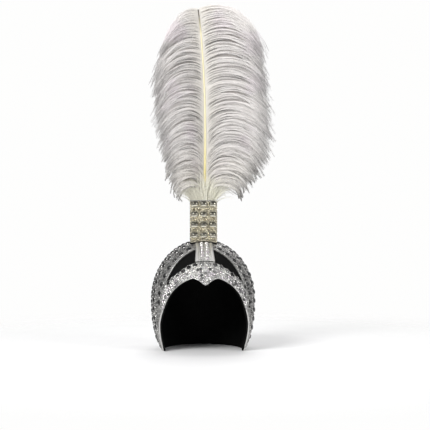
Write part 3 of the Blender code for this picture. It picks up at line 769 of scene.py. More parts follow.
def crown_stones():
    """Corners of every large stone's cell and of every gap between two."""
    cells, gaps = [], []
    for row in range(STONE_ROWS):
        start = ARCH_HEM + row * (ROW_STONE + ROW_SPACE)
        lines = [crown_line(start), crown_line(start + ROW_STONE)]
        whole = min(int(line[0][-1] / COLUMN_STEP - 0.45) for line in lines)
        for near in range(whole):
            for side in (-1, 1):
                ends = [side * near * COLUMN_STEP, side * (near + 1) * COLUMN_STEP]
                corners = [skin(*both_sides(line, at), PANEL_OUT) for line in lines for at in ends]
                large = near % 2 == (1 + row) % 2
                (cells if large else gaps).append(np.array(corners))
    return np.array(cells), np.array(gaps)


def seats(corners):
    """Centre and direction of cells given by four corners."""
    centre = corners.mean(1)
    along = corners[:, 1] - corners[:, 0] + corners[:, 3] - corners[:, 2]
    return centre, unit(along)


cells, gaps = crown_stones()
centre, along = seats(cells)
keep = ~under_other_pieces(centre)
centre, along = centre[keep], along[keep]
size = (COLUMN_STEP * 1.08, ROW_STONE * 1.04)
points, faces = set_down(SQUARE_STONE, centre, along, size, STONE_RISE, sink=0.0002)
tone = np.repeat(RNG.random(len(centre)), len(SQUARE_STONE[0]))
add_piece("crown_stones_dark", points, faces, SMOKY, "silver_stones", values={"tone": tone})
points, faces = set_down(SQUARE_RIM, centre, along, size, STONE_RISE * 0.5, sink=0.0002)
add_piece("crown_stone_rims", points, faces, METAL, "silver_stones")

centre, along = seats(gaps)
keep = ~under_other_pieces(centre)
points, faces = set_down(ROUND_STONE, centre[keep], along[keep], 0.0040, 0.0018)
tone = np.repeat(RNG.random(keep.sum()), len(ROUND_STONE[0]))
add_piece("crown_stones_clear", points, faces, CLEAR, "silver_stones", values={"tone": tone})

# %% [markdown]
# ## Chains and hems of the crown
#
# The rows are parted by cup chain: small stones at an even pitch, which `spread` finds along each line.
# The front edge and the lower ends of the panel are turned in over a cord, so they show as a smooth round
# silver hem.

# %% Chains and hems
CHAIN_STONE = 0.0025
CHAIN_PITCH = 0.0036


def line_points(distance, out, inset=0.0):
    line = crown_line(distance)
    at = np.linspace(-line[0][-1] + inset, line[0][-1] - inset, 300)
    return skin(*both_sides(line, at), out)


def chain_on(lines, size=CHAIN_STONE, pitch=CHAIN_PITCH, clear_of_pieces=True):
    """Small stones along several lines, as centres and directions."""
    centres, directions = [], []
    for line in lines:
        placed, ahead = spread(line, pitch, size)
        keep = ~under_other_pieces(placed) if clear_of_pieces else np.full(len(placed), True)
        centres.append(placed[keep])
        directions.append(ahead[keep])
    return np.concatenate(centres), np.concatenate(directions)


chain_lines = []
for row in range(STONE_ROWS - 1):
    middle = ARCH_HEM + row * (ROW_STONE + ROW_SPACE) + ROW_STONE + ROW_SPACE / 2
    chain_lines.append(line_points(middle, PANEL_OUT, 0.002))
centre, along = chain_on(chain_lines)
points, faces = set_down(SMALL_STONE, centre, along, CHAIN_STONE, 0.0015)
tone = np.repeat(RNG.random(len(centre)), len(SMALL_STONE[0]))
add_piece("crown_chain", points, faces, CLEAR, "silver_stones", values={"tone": tone})

front = line_points(0.0008, PANEL_OUT - 0.0008)
hems = [tube(front, 0.0011, flat=0.9)]
for column in (0, -1):
    ends = skin(crown_turns[:, column], crown_levels[:, column], PANEL_OUT - 0.0009)
    hems.append(tube(ends, 0.0013, flat=0.9))
points, faces = join(hems)
add_piece("crown_hem", points, faces, SATIN_METAL, "silver_stones", smooth=True)

# %% [markdown]
# ## The back of the helmet
#
# The back is plain silver cloth, closed with one seam down the middle. Small round stones are sewn on it
# in a wide slanting lattice, and a chain marks where it meets the crown.

# %% Back panel
BACK_CROWDING = 1.6
BACK_STONE_STEP = 0.0150


def back_panel(rows=70, columns=150):
    last = middle_y(CROWN_WIDTH + CLEARANCE)
    apex = float(top_height(0.0, last))
    share = np.linspace(0, 1, rows + 1)[:-1]
    height = EDGE_REVEAL + (apex - EDGE_REVEAL) * (1 - (1 - share * 0.9985) ** BACK_CROWDING)
    level = level_of(height)[:, None]
    start = turn_at(last, level)
    turn = start + 2 * (math.pi - start) * np.linspace(0, 1, columns + 1)[None]
    return turn, np.broadcast_to(level, turn.shape).copy()


back_turns, back_levels = back_panel()
points, faces = sheet(back_turns, back_levels)
around = (back_turns - math.pi) * HALF_WIDTH
upward = back_levels * DOME_RISE * math.pi / 2
values = {"along": np.tile(around.ravel(), 2), "away": np.tile(upward.ravel(), 2)}
add_piece("back_cloth", points, faces, SILVER, "silver_panel", ["back_cover"], True, values)

seam = skin(np.full(90, math.pi), np.linspace(-0.98, float(back_levels[-1, 0]) - 0.01, 90), PANEL_OUT)
edge = skin(back_turns[0], back_levels[0], PANEL_OUT - 0.0009)
points, faces = join([tube(edge, 0.0013, flat=0.9), tube(seam, 0.0009, flat=0.6)])
add_piece("back_hem", points, faces, SATIN_METAL, "silver_panel", smooth=True)

rows_of_stones = []
for number, height in enumerate(np.arange(0.012, HELMET_HEIGHT - 0.004, BACK_STONE_STEP * 0.72)):
    level = float(level_of(height))
    start = float(turn_at(middle_y(CROWN_WIDTH) + 0.006, level))
    if math.pi - start < 0.2:
        continue
    ring_line = skin(np.linspace(start, 2 * math.pi - start, 200), level, PANEL_OUT)
    placed, ahead = spread(ring_line, BACK_STONE_STEP, 0.004 + BACK_STONE_STEP / 2 * (number % 2))
    rows_of_stones.append((placed, ahead))
centre = np.concatenate([r[0] for r in rows_of_stones])
along = np.concatenate([r[1] for r in rows_of_stones])
points, faces = set_down(ROUND_STONE, centre, along, 0.0040, 0.0019)
tone = np.repeat(RNG.random(len(centre)), len(ROUND_STONE[0]))
add_piece("back_stones", points, faces, CLEAR, "silver_panel", values={"tone": tone})
centre, along = chain_on([line_points(CROWN_WIDTH - 0.0012, PANEL_OUT, 0.002)])
points, faces = set_down(SMALL_STONE, centre, along, CHAIN_STONE, 0.0015)
tone = np.repeat(RNG.random(len(centre)), len(SMALL_STONE[0]))
add_piece("back_chain", points, faces, CLEAR, "silver_panel", values={"tone": tone})

# %% [markdown]
# ## The brow band
#
# The band follows the M of the face edge. It is set all over: small stones in staggered rows below, a
# bright chain across its middle, and a row of larger stones along the top whose round rims make its edge
# scalloped.

# %% Brow band
BROW_LARGE = 0.0088
BROW_PITCH = 0.0054


def brow_height(along):
    return HELMET_HEIGHT * curve_through(BROW_TOP, np.abs(along))


def brow_foot(along):
    height = np.full(np.shape(along), float(face_height(0.0)))
    for _ in range(60):
        height = (height + face_height(along * seam_turn(height)) + EDGE_REVEAL) / 2
    return height


def brow_place(along, share):
    """Turn and level in the band: along from -1 to 1, share of the way up from its lower edge."""
    low, high = brow_foot(along), brow_height(along)
    height = low + (high - low) * share
    return along * (seam_turn(height) - CLEARANCE / HALF_WIDTH), level_of(height)


across, upward = np.meshgrid(np.linspace(-1, 1, 181), np.linspace(0, 1, 25))
brow_turns, brow_levels = brow_place(across, upward)
points, faces = sheet(brow_turns, brow_levels)
values = {"along": np.tile((across * 0.095).ravel(), 2), "away": np.tile((upward * 0.03).ravel(), 2)}
add_piece("brow_cloth", points, faces, BROW, "brow_stones", ["brow_band"], True, values)


def brow_line(share, inset=0.012, out=PANEL_OUT):
    return skin(*brow_place(np.linspace(-1 + inset, 1 - inset, 400), share), out)


hem = tube(brow_line(0.01, 0.0, PANEL_OUT - 0.0004), 0.0005, flat=0.9)
add_piece("brow_hem", *hem, SATIN_METAL, "brow_stones", smooth=True)

ALONG = np.linspace(-1, 1, 801)
brow_low, brow_top = (skin(*brow_place(ALONG, share), PANEL_OUT) for share in (0.0, 1.0))
BROW_TALL = np.linalg.norm(brow_top - brow_low, axis=-1)


def brow_row(gap, pitch, room, first=0.0, from_top=False):
    """Places and directions at a fixed gap from one edge of the band, wherever the band has room above."""
    share = gap / BROW_TALL
    line = skin(*brow_place(ALONG, 1 - share if from_top else share), PANEL_OUT)
    fits = np.flatnonzero((gap + room < BROW_TALL) & (np.abs(ALONG) < 0.985))
    runs = np.split(fits, np.flatnonzero(np.diff(fits) > 1) + 1)
    placed = [spread(line[run], pitch, first) for run in runs if len(run) > 8]
    return tuple(np.concatenate(values) for values in zip(*placed))


centre, along = brow_row(0.5 * BROW_LARGE + 0.0004, BROW_LARGE * 1.24, 0.002, from_top=True)
points, faces = set_down(ROUND_STONE, centre, along, BROW_LARGE * 0.84, 0.0026)
tone = np.repeat(RNG.random(len(centre)), len(ROUND_STONE[0]))
add_piece("brow_stones_large", points, faces, BROW_DARK, "brow_stones", values={"tone": tone})
points, faces = set_down(ROUND_RIM, centre, along, BROW_LARGE * 0.84, 0.0024)
add_piece("brow_stone_rims", points, faces, METAL, "brow_stones")

rows = [brow_row(0.0030 + BROW_PITCH * 0.9 * k, BROW_PITCH, BROW_LARGE + 0.0042, BROW_PITCH / 2 * (k % 2))
        for k in range(5)]
centre, along = (np.concatenate(values) for values in zip(*rows))
points, faces = set_down(SMALL_STONE, centre, along, BROW_PITCH * 0.90, 0.0020)
tone = np.repeat(RNG.random(len(centre)), len(SMALL_STONE[0]))
add_piece("brow_stones_small", points, faces, BROW_STONE, "brow_stones", values={"tone": tone})
centre, along = brow_row(BROW_LARGE + 0.0021, 0.0036, 0.001, from_top=True)
points, faces = set_down(ROUND_STONE, centre, along, 0.0032, 0.0017)
tone = np.repeat(0.5 + 0.5 * RNG.random(len(centre)), len(ROUND_STONE[0]))
add_piece("brow_chain", points, faces, BROW_STONE, "brow_stones", values={"tone": tone})
print(f"band {BROW_TALL.min() * 1000:.1f} to {BROW_TALL.max() * 1000:.1f} mm high")

# %% [markdown]
# ## The centre bar
#
# A stiff bar runs up the middle from the brow band over the black crescent to the sleeve. It steps over the
# crown's edge. Its two borders are smooth padded bands, and between them stand two columns of round stones
# in plain metal cups.

# %% Centre bar
BAR_WALL = 0.0014
BAR_FOOT_HALF = 0.0158
BAR_TOP_HALF = 0.0136
BAR_TAPER_END = 0.625
BAR_STEP = 0.0105
BAR_BORDER = 0.0042
BAR_STONE = 0.0078
HOLDER_STONE_RISE = 0.0042
OVER = PANEL_OUT + CLEARANCE + 0.0002


def settle(x, start, follow):
    """y at which a line across the plan, given by height or by turn, crosses a distance from the middle."""
    y = np.full(np.shape(x), float(start))
    for _ in range(60):
        y = (y + follow(x, y)) / 2
    return y


def crown_edge_y(x):
    return settle(x, -TOP_FORWARD, lambda x, y: -arch_forward(top_height(x, y)))


def brow_edge_y(x):
    height = np.full(np.shape(x), float(brow_height(0.0)))
    for _ in range(60):
        level = level_of(height)
        turn = np.arcsin(x / ((HALF_WIDTH + PANEL_OUT) * size_at(level)))
        height = brow_height(turn / seam_turn(height)) + 2 * CLEARANCE
    return (skin(turn, level_of(height), PANEL_OUT) - MIDDLE)[..., 1]


BAR_FOOT_Y = float(brow_edge_y(np.array(0.0)))
BAR_END_Y = HOLDER_FRONT - HOLDER_STONE_RISE - CLEARANCE
ARCH_Y = float(crown_edge_y(np.array(0.0)))


def bar_half(share):
    return BAR_FOOT_HALF + (BAR_TOP_HALF - BAR_FOOT_HALF) * np.minimum(1.0, share / BAR_TAPER_END)


def bar_place(x, share):
    """Turn and level on the bar, x from the middle and a share of the way to the sleeve."""
    x, share = np.broadcast_arrays(np.asarray(x, float), np.asarray(share, float))
    y = BAR_FOOT_Y + (BAR_END_Y - BAR_FOOT_Y) * share
    by_arch = np.maximum(0, 1 - np.abs(y - ARCH_Y) / (2 * BAR_STEP))
    by_brow = np.maximum(0, 1 - (y - BAR_FOOT_Y) / BAR_STEP)
    y = y + (crown_edge_y(x) - ARCH_Y) * by_arch + (brow_edge_y(x) - BAR_FOOT_Y) * by_brow
    level = level_of(top_height(x, y))
    return np.arcsin(x / ((HALF_WIDTH + PANEL_OUT) * size_at(level))), level


arch_share = (ARCH_Y - 3 * CLEARANCE - BAR_FOOT_Y) / (BAR_END_Y - BAR_FOOT_Y)
bar_shares = np.sort(np.concatenate([np.linspace(0, 1, 41), [arch_share, arch_share + 0.002]]))[:, None]
bar_x = bar_half(bar_shares) * np.linspace(-1, 1, 17)[None]
turn, level = bar_place(bar_x, bar_shares)
inner = np.broadcast_to(np.where(bar_shares <= arch_share, PANEL_IN, OVER), turn.shape)
points, faces = sheet(turn, level, inner, OVER + BAR_WALL)
away = np.broadcast_to(bar_shares * (BAR_END_Y - BAR_FOOT_Y), turn.shape)
values = {"along": np.tile(bar_x.ravel(), 2), "away": np.tile(away.ravel(), 2)}
add_piece("bar_cloth", points, faces, BROW, "brow_stones", ["centre_bar"], True, values)

line = np.linspace(0.005, 0.995, 60)
borders = []
for side in (-1, 1):
    points = skin(*bar_place(side * (bar_half(line) - BAR_BORDER / 2), line), OVER + BAR_WALL)
    borders.append(tube(points, BAR_BORDER / 2, sides=12, flat=0.36))
add_piece("bar_borders", *join(borders), SATIN_METAL, "brow_stones", smooth=True)

line = np.linspace(0.0, 1.0, 300)
centres, directions = [], []
for side in (-1, 1):
    column = skin(*bar_place(np.full(300, side * BAR_STONE * 0.52), line), OVER + BAR_WALL)
    placed, ahead = spread(column, BAR_STONE * 1.06, BAR_STONE * 0.52)
    centres.append(placed)
    directions.append(ahead)
centre, along = np.concatenate(centres), np.concatenate(directions)
points, faces = set_down(ROUND_STONE, centre, along, BAR_STONE * 0.80, 0.0024)
tone = np.repeat(0.25 + 0.75 * RNG.random(len(centre)), len(ROUND_STONE[0]))
add_piece("bar_stones", points, faces, BROW_STONE, "brow_stones", values={"tone": tone})
points, faces = set_down(ROUND_RIM, centre, along, BAR_STONE * 0.80, 0.0020)
add_piece("bar_stone_cups", points, faces, METAL, "brow_stones")

# %% [markdown]
# ## The plume's sleeve
#
# The sleeve is a flat box of stiff card, open above and below. Champagne glitter covers it, and small
# champagne stones sit all over it like a honeycomb. Twelve large step-cut stones stand out of the front. A
# narrow black band at its foot is a painted shadow, the dark line where the sleeve stands on the dome, and a
# metal hem finishes its mouth.

# %% Sleeve
HOLDER_WALL = 0.0020
HOLDER_CORNER = 0.0020
SLEEVE_STONE = 0.0021
SLEEVE_PITCH = 0.0025


def sleeve_ring(out):
    """Outline of the sleeve seen from above, a distance outside it, with its corners rounded."""
    corner = HOLDER_CORNER + min(0.0, out) / 2
    wide, deep = HOLDER_WIDTH / 2 + out - corner, HOLDER_DEPTH / 2 + out - corner
    angle = np.linspace(-math.pi / 2, 0, 5)
    outline = []
    for quarter, (sx, sy) in enumerate(((1, -1), (1, 1), (-1, 1), (-1, -1))):
        turned = angle + quarter * math.pi / 2
        outline.append(np.column_stack([sx * wide + corner * np.cos(turned), sy * deep + corner * np.sin(turned)]))
        ahead = ((1, 1), (-1, 1), (-1, -1), (1, -1))[quarter]
        if quarter % 2:
            between = np.linspace(sx * wide, ahead[0] * wide, 14)[1:-1]
            y = outline[-1][-1][1]
            outline.append(np.column_stack([between, np.full(12, y)]))
    outline = np.concatenate(outline)
    return outline + np.array([0.0, -HOLDER_BACK_SHIFT])


def sleeve_wall(out, low, high):
    """Rows of points from low to high, shares of the way up from the dome to the mouth."""
    ring_points = sleeve_ring(out)
    foot = top_height(ring_points[:, 0], ring_points[:, 1]) + CLEARANCE
    share = np.linspace(low, high, 9)[:, None]
    z = foot[None] + (HOLDER_TOP - foot[None]) * share
    flat = np.broadcast_to(ring_points[None], (9, *ring_points.shape))
    return np.concatenate([flat, z[..., None]], -1) + MIDDLE


def band(out_rows, in_rows):
    """Closed band between an outer and an inner wall of points."""
    rows, columns = out_rows.shape[:2]
    count = rows * columns
    up = grid_faces(rows, columns, closed_columns=True)
    rim = np.arange(columns)
    after = (rim + 1) % columns
    foot = np.stack([after, rim, rim + count, after + count], -1)
    last = count - columns
    mouth = np.stack([last + rim, last + after, last + after + count, last + rim + count], -1)
    points = np.concatenate([out_rows.reshape(-1, 3), in_rows.reshape(-1, 3)])
    return points, [np.concatenate([up, up[:, ::-1] + count, foot, mouth])]


points, faces = band(sleeve_wall(0.0, 0, 1), sleeve_wall(-HOLDER_WALL, 0, 1))
add_piece("sleeve", points, faces, GLITTER, "holder_panel", ["plume_holder"], True)
# Painted shadow: a black band round the sleeve's foot stands for the shadow line where it meets the dome.
points, faces = band(sleeve_wall(0.0007, 0.0, 0.032), sleeve_wall(0.0, 0.0, 0.032))
add_piece("sleeve_foot_shadow_band", points, faces, BLACK, "holder_panel", smooth=True)
points, faces = band(sleeve_wall(0.0006, 0.978, 1.0), sleeve_wall(-0.0004, 0.978, 1.0))
add_piece("sleeve_hem", points, faces, METAL, "holder_panel", smooth=True)

ROWS_OF_LARGE = 4
COLUMNS_OF_LARGE = 3
LARGE_WIDE, LARGE_TALL, LARGE_CORNER = 0.0118, 0.0098, 0.0024
LARGE_COLUMN_STEP, LARGE_ROW_STEP, LARGE_TOP_DROP = 0.0148, 0.0172, 0.0062
LARGE_CUT = (Tier(1.0, 0.0), Tier(1.0, 0.33), Tier(0.86, 0.60), Tier(0.71, 0.84), Tier(0.55, 1.0))
a, b, c = LARGE_WIDE / 2, LARGE_TALL / 2, LARGE_CORNER
oblong = np.array([(a, c - b), (a, b - c), (a - c, b), (c - a, b), (-a, b - c), (-a, c - b), (c - a, -b), (a - c, -b)])
LARGE_STONE = gem(oblong, LARGE_CUT)
FORWARD = np.array([0.0, -1.0, 0.0])

large_centres = []
for row in range(ROWS_OF_LARGE):
    for column in range(COLUMNS_OF_LARGE):
        x = (column - (COLUMNS_OF_LARGE - 1) / 2) * LARGE_COLUMN_STEP
        z = HOLDER_TOP - LARGE_TOP_DROP - row * LARGE_ROW_STEP
        place = np.array([[x, HOLDER_FRONT - CLEARANCE, z]]) + MIDDLE
        large_centres.append(place[0])
        points, faces = set_down(LARGE_STONE, place, np.array([[1.0, 0, 0]]), 1.0, HOLDER_STONE_RISE, FORWARD)
        number = row * COLUMNS_OF_LARGE + column + 1
        add_piece(f"sleeve_stone_{number}", points, faces, CHAMPAGNE, "champagne_stone", [f"holder_stone_{number}"])
large_centres = np.array(large_centres)

centres, ups, sideways = [], [], []
walls = (
    (FORWARD, np.array([1.0, 0, 0]), HOLDER_WIDTH, HOLDER_FRONT),
    (-FORWARD, np.array([-1.0, 0, 0]), HOLDER_WIDTH, HOLDER_FRONT + HOLDER_DEPTH),
    (np.array([1.0, 0, 0]), -FORWARD, HOLDER_DEPTH, HOLDER_WIDTH / 2),
    (np.array([-1.0, 0, 0]), FORWARD, HOLDER_DEPTH, -HOLDER_WIDTH / 2),
)
for up, along, wide, wall in walls:
    rows = np.arange(0.0030, HOLDER_TOP - HELMET_HEIGHT + 0.008, SLEEVE_PITCH * 0.87)
    for number, drop in enumerate(rows):
        reach = wide / 2 - HOLDER_CORNER * 0.5 - SLEEVE_STONE / 2
        across = np.arange(-reach + (number % 2) * SLEEVE_PITCH / 2, reach, SLEEVE_PITCH)
        if abs(up[1]) > 0.5:
            spot = np.column_stack([along[0] * across, np.full(len(across), wall)])
        else:
            spot = np.column_stack([np.full(len(across), wall), along[1] * across - HOLDER_BACK_SHIFT])
        foot = top_height(spot[:, 0], spot[:, 1]) + 0.0042
        z = HOLDER_TOP - drop
        place = np.column_stack([spot, np.full(len(spot), z)]) + MIDDLE
        near = np.abs(place[:, None] - large_centres[None])
        covered = ((near[..., 0] < LARGE_WIDE / 2 + 0.0006) & (near[..., 2] < LARGE_TALL / 2 + 0.0006)).any(1)
        keep = (z > foot) & ~(covered & (up[1] < -0.5))
        centres.append(place[keep])
        ups.append(np.broadcast_to(up, (keep.sum(), 3)))
        sideways.append(np.broadcast_to(along, (keep.sum(), 3)))
centre, up, along = (np.concatenate(v) for v in (centres, ups, sideways))
points, faces = set_down(SMALL_STONE, centre, along, SLEEVE_STONE, 0.0011, up)
tone = np.repeat(RNG.random(len(centre)), len(SMALL_STONE[0]))
add_piece("sleeve_stones_small", points, faces, CHAMPAGNE_SMALL, "holder_panel", values={"tone": tone})

# %% [markdown]
# ## Finishes of the feather
#
# A barb is a thread of horn with soft barbules, and light passes through it. Diffuse and translucent
# shaders are mixed, or the plume's shaded side would look like chalk. Each barb carries a shade value:
# the lowest barbs of strands, loose strands and curls get painted shade, the others a little random tone.
# Each barb's end is greyer than its middle. The barbs near the quill are creamier than those at the edge.

# %% Feather finishes
def feather(name, pale, warm, grey):
    made, w, shader = finish(name, specular_ior_level=0.15)
    tint, along = value_of(w, "tint"), value_of(w, "along")
    height = w.node("SeparateXYZ", {}, {0: w.node("TexCoord", out="Object")}, out="Z")
    low_down = 1 - height.between(0.25, 0.36)
    near_quill = w.maths("MAXIMUM", 1 - along.between(0.0, 0.4), low_down)
    cast = noise(w, 0.045, 1.0).between(0.50, 0.66) * along.between(0.1, 0.4)
    lilac = cast.blend(pale, colour(pale[0] * 0.97, pale[1] * 0.945, pale[2] * 0.98))
    body = (near_quill * 0.8).blend(lilac, warm)
    # Painted shade: barbs with a high shade value are darkened towards grey in noisy patches, less so low on the
    # plume.
    patchy = noise(w, 0.016, 2.0, (0.5, 1.0, 1.0)).between(0.30, 0.62)
    shaded = tint.between(0.35, 1.0) * along.between(0.01, 0.10) * (patchy * 0.7 + 0.3) * (1 - low_down * 0.3)
    greyed = w.maths("MINIMUM", shaded + along.between(0.78, 1.0) * 0.55, 1.0)
    feed(shader, base_color=greyed.blend(body, grey), roughness=tint * 0.2 + 0.6)
    through = w.node("BsdfTranslucent", {}, {"Color": colour(0.80, 0.78, 0.76)})
    front = Wire(w.tree, shader.outputs[0])
    both = w.node("MixShader", {}, {0: 0.26 - greyed * 0.22, 1: front, 2: through})
    w.tree.links.new(both.socket, w.tree.nodes["Material Output"].inputs["Surface"])
    return made


def horn():
    made, w, shader = finish("quill_horn", ior=1.5, coat_weight=0.4, coat_roughness=0.15)
    along = value_of(w, "along")
    streaks = noise(w, 0.0012, 3.0, (1.0, 1.0, 0.05))
    pale = streaks.blend(colour(0.80, 0.71, 0.42), colour(0.97, 0.93, 0.66))
    pale = (1 - along.between(0.0, 0.45)).blend(pale, colour(0.86, 0.74, 0.28))
    # Painted shadow: the quill's upper end goes near black, for the shadow between the barbs of both sides.
    dark = along.between(0.84, 0.97)
    feed(shader, base_color=dark.blend(pale, colour(0.10, 0.08, 0.07)), roughness=streaks * 0.2 + 0.3)
    return made


# The last colour of each feather finish is the grey that its painted shade darkens to, and that its barb ends grey
# towards.
BARB = feather("feather_barb", colour(0.985, 0.96, 0.94), colour(0.985, 0.955, 0.89), colour(0.10, 0.095, 0.095))
# Painted shade: the fluff is coloured darker than the barbs, as shade in the gaps between strands.
FLUFF = feather("feather_fluff", colour(0.92, 0.89, 0.87), colour(0.95, 0.92, 0.86), colour(0.25, 0.24, 0.23))
DOWN = feather("cream_down", colour(1.0, 0.99, 0.88), colour(1.0, 0.99, 0.86), colour(0.80, 0.78, 0.66))
HORN = horn()
print("feather finishes made")

# %% [markdown]
# ## The quill
#
# One long shaft, thick at the foot and fine at the tip. It leans back a little and bends over at the top.

# %% Quill
PLUME_HEIGHT = 0.3230
PLUME_HALF_DEPTH = 0.0340
QUILL_LEAN = 0.030
QUILL_BEND = (
    Bend(-0.22, 0.002), Bend(0.0, 0.005), Bend(0.25, 0.0085), Bend(0.45, 0.0085), Bend(0.60, 0.004),
    Bend(0.75, -0.004), Bend(0.88, -0.014), Bend(0.98, -0.026), Bend(1.0, -0.029),
)


def quill_at(share):
    share = np.asarray(share, float)
    side = PLUME_HEIGHT * curve_through(QUILL_BEND, share)
    back = QUILL_LEAN * PLUME_HEIGHT * np.maximum(0, share) ** 2 - HOLDER_BACK_SHIFT
    return np.stack([side, back, HOLDER_TOP + PLUME_HEIGHT * share], -1) + MIDDLE


quill_low, quill_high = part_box("plume_quill")
foot_share = (quill_low.z - HOLDER_TOP) / PLUME_HEIGHT
tip_share = (quill_high.z - HOLDER_TOP) / PLUME_HEIGHT
share = np.linspace(foot_share, tip_share, 90)
radius = 0.0021 + (0.0009 - 0.0021) * np.clip(share, 0, 1)
points, faces = tube(quill_at(share), radius, sides=12, flat=0.85, up=FORWARD)
add_piece("quill", points, faces, HORN, "quill", ["plume_quill"], True, {"along": np.repeat(share, 12)})

# %% [markdown]
# ## Barbs of the plume
#
# An ostrich barb leaves the quill upward, arches over and droops at its end. Two fan tables, one for each
# side, say for places up the quill how far the barbs reach and how they bend. `out` and `rise` place the
# first handle of a Bezier curve, `far` and `hold` the second, and `drop` the end, all as shares of the
# reach. Near the quill the barbs lie evenly. Further out they cling together in strands, pale above with
# painted shade on their lowest barbs, and the fluff in the gaps is darker as painted shade.

# %% Barbs
FAN_RIGHT = (
    Fan(0.010, 0.178, 0.20, 0.45, 0.60, 0.40, 0.18), Fan(0.050, 0.216, 0.20, 0.44, 0.60, 0.42, 0.15),
    Fan(0.100, 0.256, 0.18, 0.46, 0.60, 0.44, 0.10), Fan(0.180, 0.302, 0.17, 0.46, 0.60, 0.43, 0.03),
    Fan(0.260, 0.328, 0.18, 0.44, 0.62, 0.38, -0.05), Fan(0.350, 0.336, 0.20, 0.36, 0.65, 0.32, -0.10),
    Fan(0.450, 0.344, 0.22, 0.30, 0.68, 0.24, -0.14), Fan(0.577, 0.333, 0.24, 0.25, 0.70, 0.19, -0.19),
    Fan(0.700, 0.329, 0.22, 0.22, 0.68, 0.20, -0.25), Fan(0.800, 0.326, 0.22, 0.20, 0.70, 0.20, -0.31),
    Fan(0.900, 0.322, 0.22, 0.17, 0.72, 0.20, -0.40), Fan(0.983, 0.329, 0.234, 0.156, 0.81, 0.11, -0.56),
)
FAN_LEFT = (
    Fan(0.010, 0.135, 0.20, 0.50, 0.60, 0.48, 0.20), Fan(0.050, 0.164, 0.20, 0.48, 0.60, 0.48, 0.18),
    Fan(0.100, 0.182, 0.20, 0.48, 0.60, 0.46, 0.12), Fan(0.180, 0.198, 0.20, 0.46, 0.60, 0.42, 0.03),
    Fan(0.260, 0.223, 0.20, 0.42, 0.62, 0.34, -0.10), Fan(0.350, 0.236, 0.22, 0.36, 0.64, 0.28, -0.18),
    Fan(0.450, 0.251, 0.24, 0.28, 0.68, 0.20, -0.27), Fan(0.577, 0.257, 0.25, 0.22, 0.70, 0.16, -0.36),
    Fan(0.700, 0.257, 0.25, 0.18, 0.72, 0.10, -0.48), Fan(0.800, 0.238, 0.26, 0.16, 0.75, 0.04, -0.60),
    Fan(0.900, 0.206, 0.28, 0.12, 0.78, -0.05, -0.68), Fan(0.983, 0.193, 0.32, 0.107, 0.80, -0.213, -1.28),
)
RIBBON_POINTS = 14
PATH = np.linspace(0, 1, RIBBON_POINTS)


def barb_lines(side, root, layer, scale, sway, curl):
    """Points along many barbs of one side, RIBBON_POINTS each, as an array of barbs by points by 3."""
    table = FAN_RIGHT if side > 0 else FAN_LEFT
    share, out, rise, far, hold, drop = (curve_through(table, root, k) for k in range(1, 7))
    reach = PLUME_HEIGHT * share * scale
    s = PATH[None]
    first, second, last = 3 * s * (1 - s) ** 2, 3 * s**2 * (1 - s), s**3
    across = (first * out[:, None] + second * far[:, None] + last) * reach[:, None]
    upward = (first * rise[:, None] + second * hold[:, None] + last * drop[:, None]) * reach[:, None]
    late = np.maximum(0, s - 0.72) / 0.28
    upward += sway[:, None] * s - (curl * reach)[:, None] * late**2
    across -= (np.abs(curl) * reach * 0.3)[:, None] * late**3
    depth = layer[:, None] * PLUME_HALF_DEPTH * np.sin(s * 1.9) * (0.45 + 0.5 * s)
    across += (0.0017 - 0.0010 * root)[:, None] * (1 - s)
    return quill_at(root)[:, None] + np.stack([side * across, depth + 0.0004 * (1 - s), upward], -1)


def barb_mesh(line, tint, width, barbule, barbules, lean=0.6):
    """Ribbons with barbules for lines of points. Returns points, faces and the values of the finish."""
    count, steps = line.shape[:2]
    ahead = unit(np.gradient(line, axis=1))
    across = unit(np.cross(ahead, np.array([0.15, 1.0, 0.1])))
    half = width * (1 - 0.7 * PATH)[None, :, None] / 2
    ribbon = np.stack([line - across * half, line + across * half], 2).reshape(count, -1, 3)
    quad = np.stack([np.arange(steps - 1) * 2 + k for k in (0, 1, 3, 2)], -1)
    ribbon_faces = (quad[None] + (np.arange(count) * steps * 2)[:, None, None]).reshape(-1, 4)
    ribbon_along = np.repeat(np.broadcast_to(PATH, (count, steps)), 2, axis=1)

    at = (np.arange(barbules)[None] + RNG.random((count, barbules))) / barbules * (steps - 1.001)
    k = at.astype(int)
    t = (at - k)[..., None]
    pick = np.arange(count)[:, None]
    place = line[pick, k] * (1 - t) + line[pick, k + 1] * t
    forward = ahead[pick, k]
    aside = across[pick, k] * np.where(RNG.random((count, barbules)) < 0.5, -1.0, 1.0)[..., None]
    depth = np.cross(forward, aside)
    roll = RNG.normal(0, 0.6, (count, barbules))[..., None]
    aside = aside * np.cos(roll) + depth * np.sin(roll)
    share = at / (steps - 1)
    turned = (lean + RNG.normal(0, 0.15, (count, barbules)))[..., None]
    long = barbule * (0.55 + 0.6 * RNG.random((count, barbules))) * (1 - 0.55 * share**2)
    long = (long * np.minimum(1, share * 5 + 0.25))[..., None]
    tip = place + long * (forward * np.cos(turned) + aside * np.sin(turned))
    base = forward * 0.00025
    triangles = np.stack([place - base, place + base, tip], 2).reshape(-1, 3)
    triangle_faces = (np.arange(count * barbules * 3) + count * steps * 2).reshape(-1, 3)
    points = np.concatenate([ribbon.reshape(-1, 3), triangles])
    along = np.concatenate([ribbon_along.ravel(), np.repeat(share.ravel(), 3)])
    tints_and_shades = np.concatenate([np.repeat(tint, steps * 2), np.repeat(tint, barbules * 3)])
    return points, [ribbon_faces, triangle_faces], {"along": along, "tint": tints_and_shades}


STRAND_BARBS = 8
STRAND_HALF = 0.0011


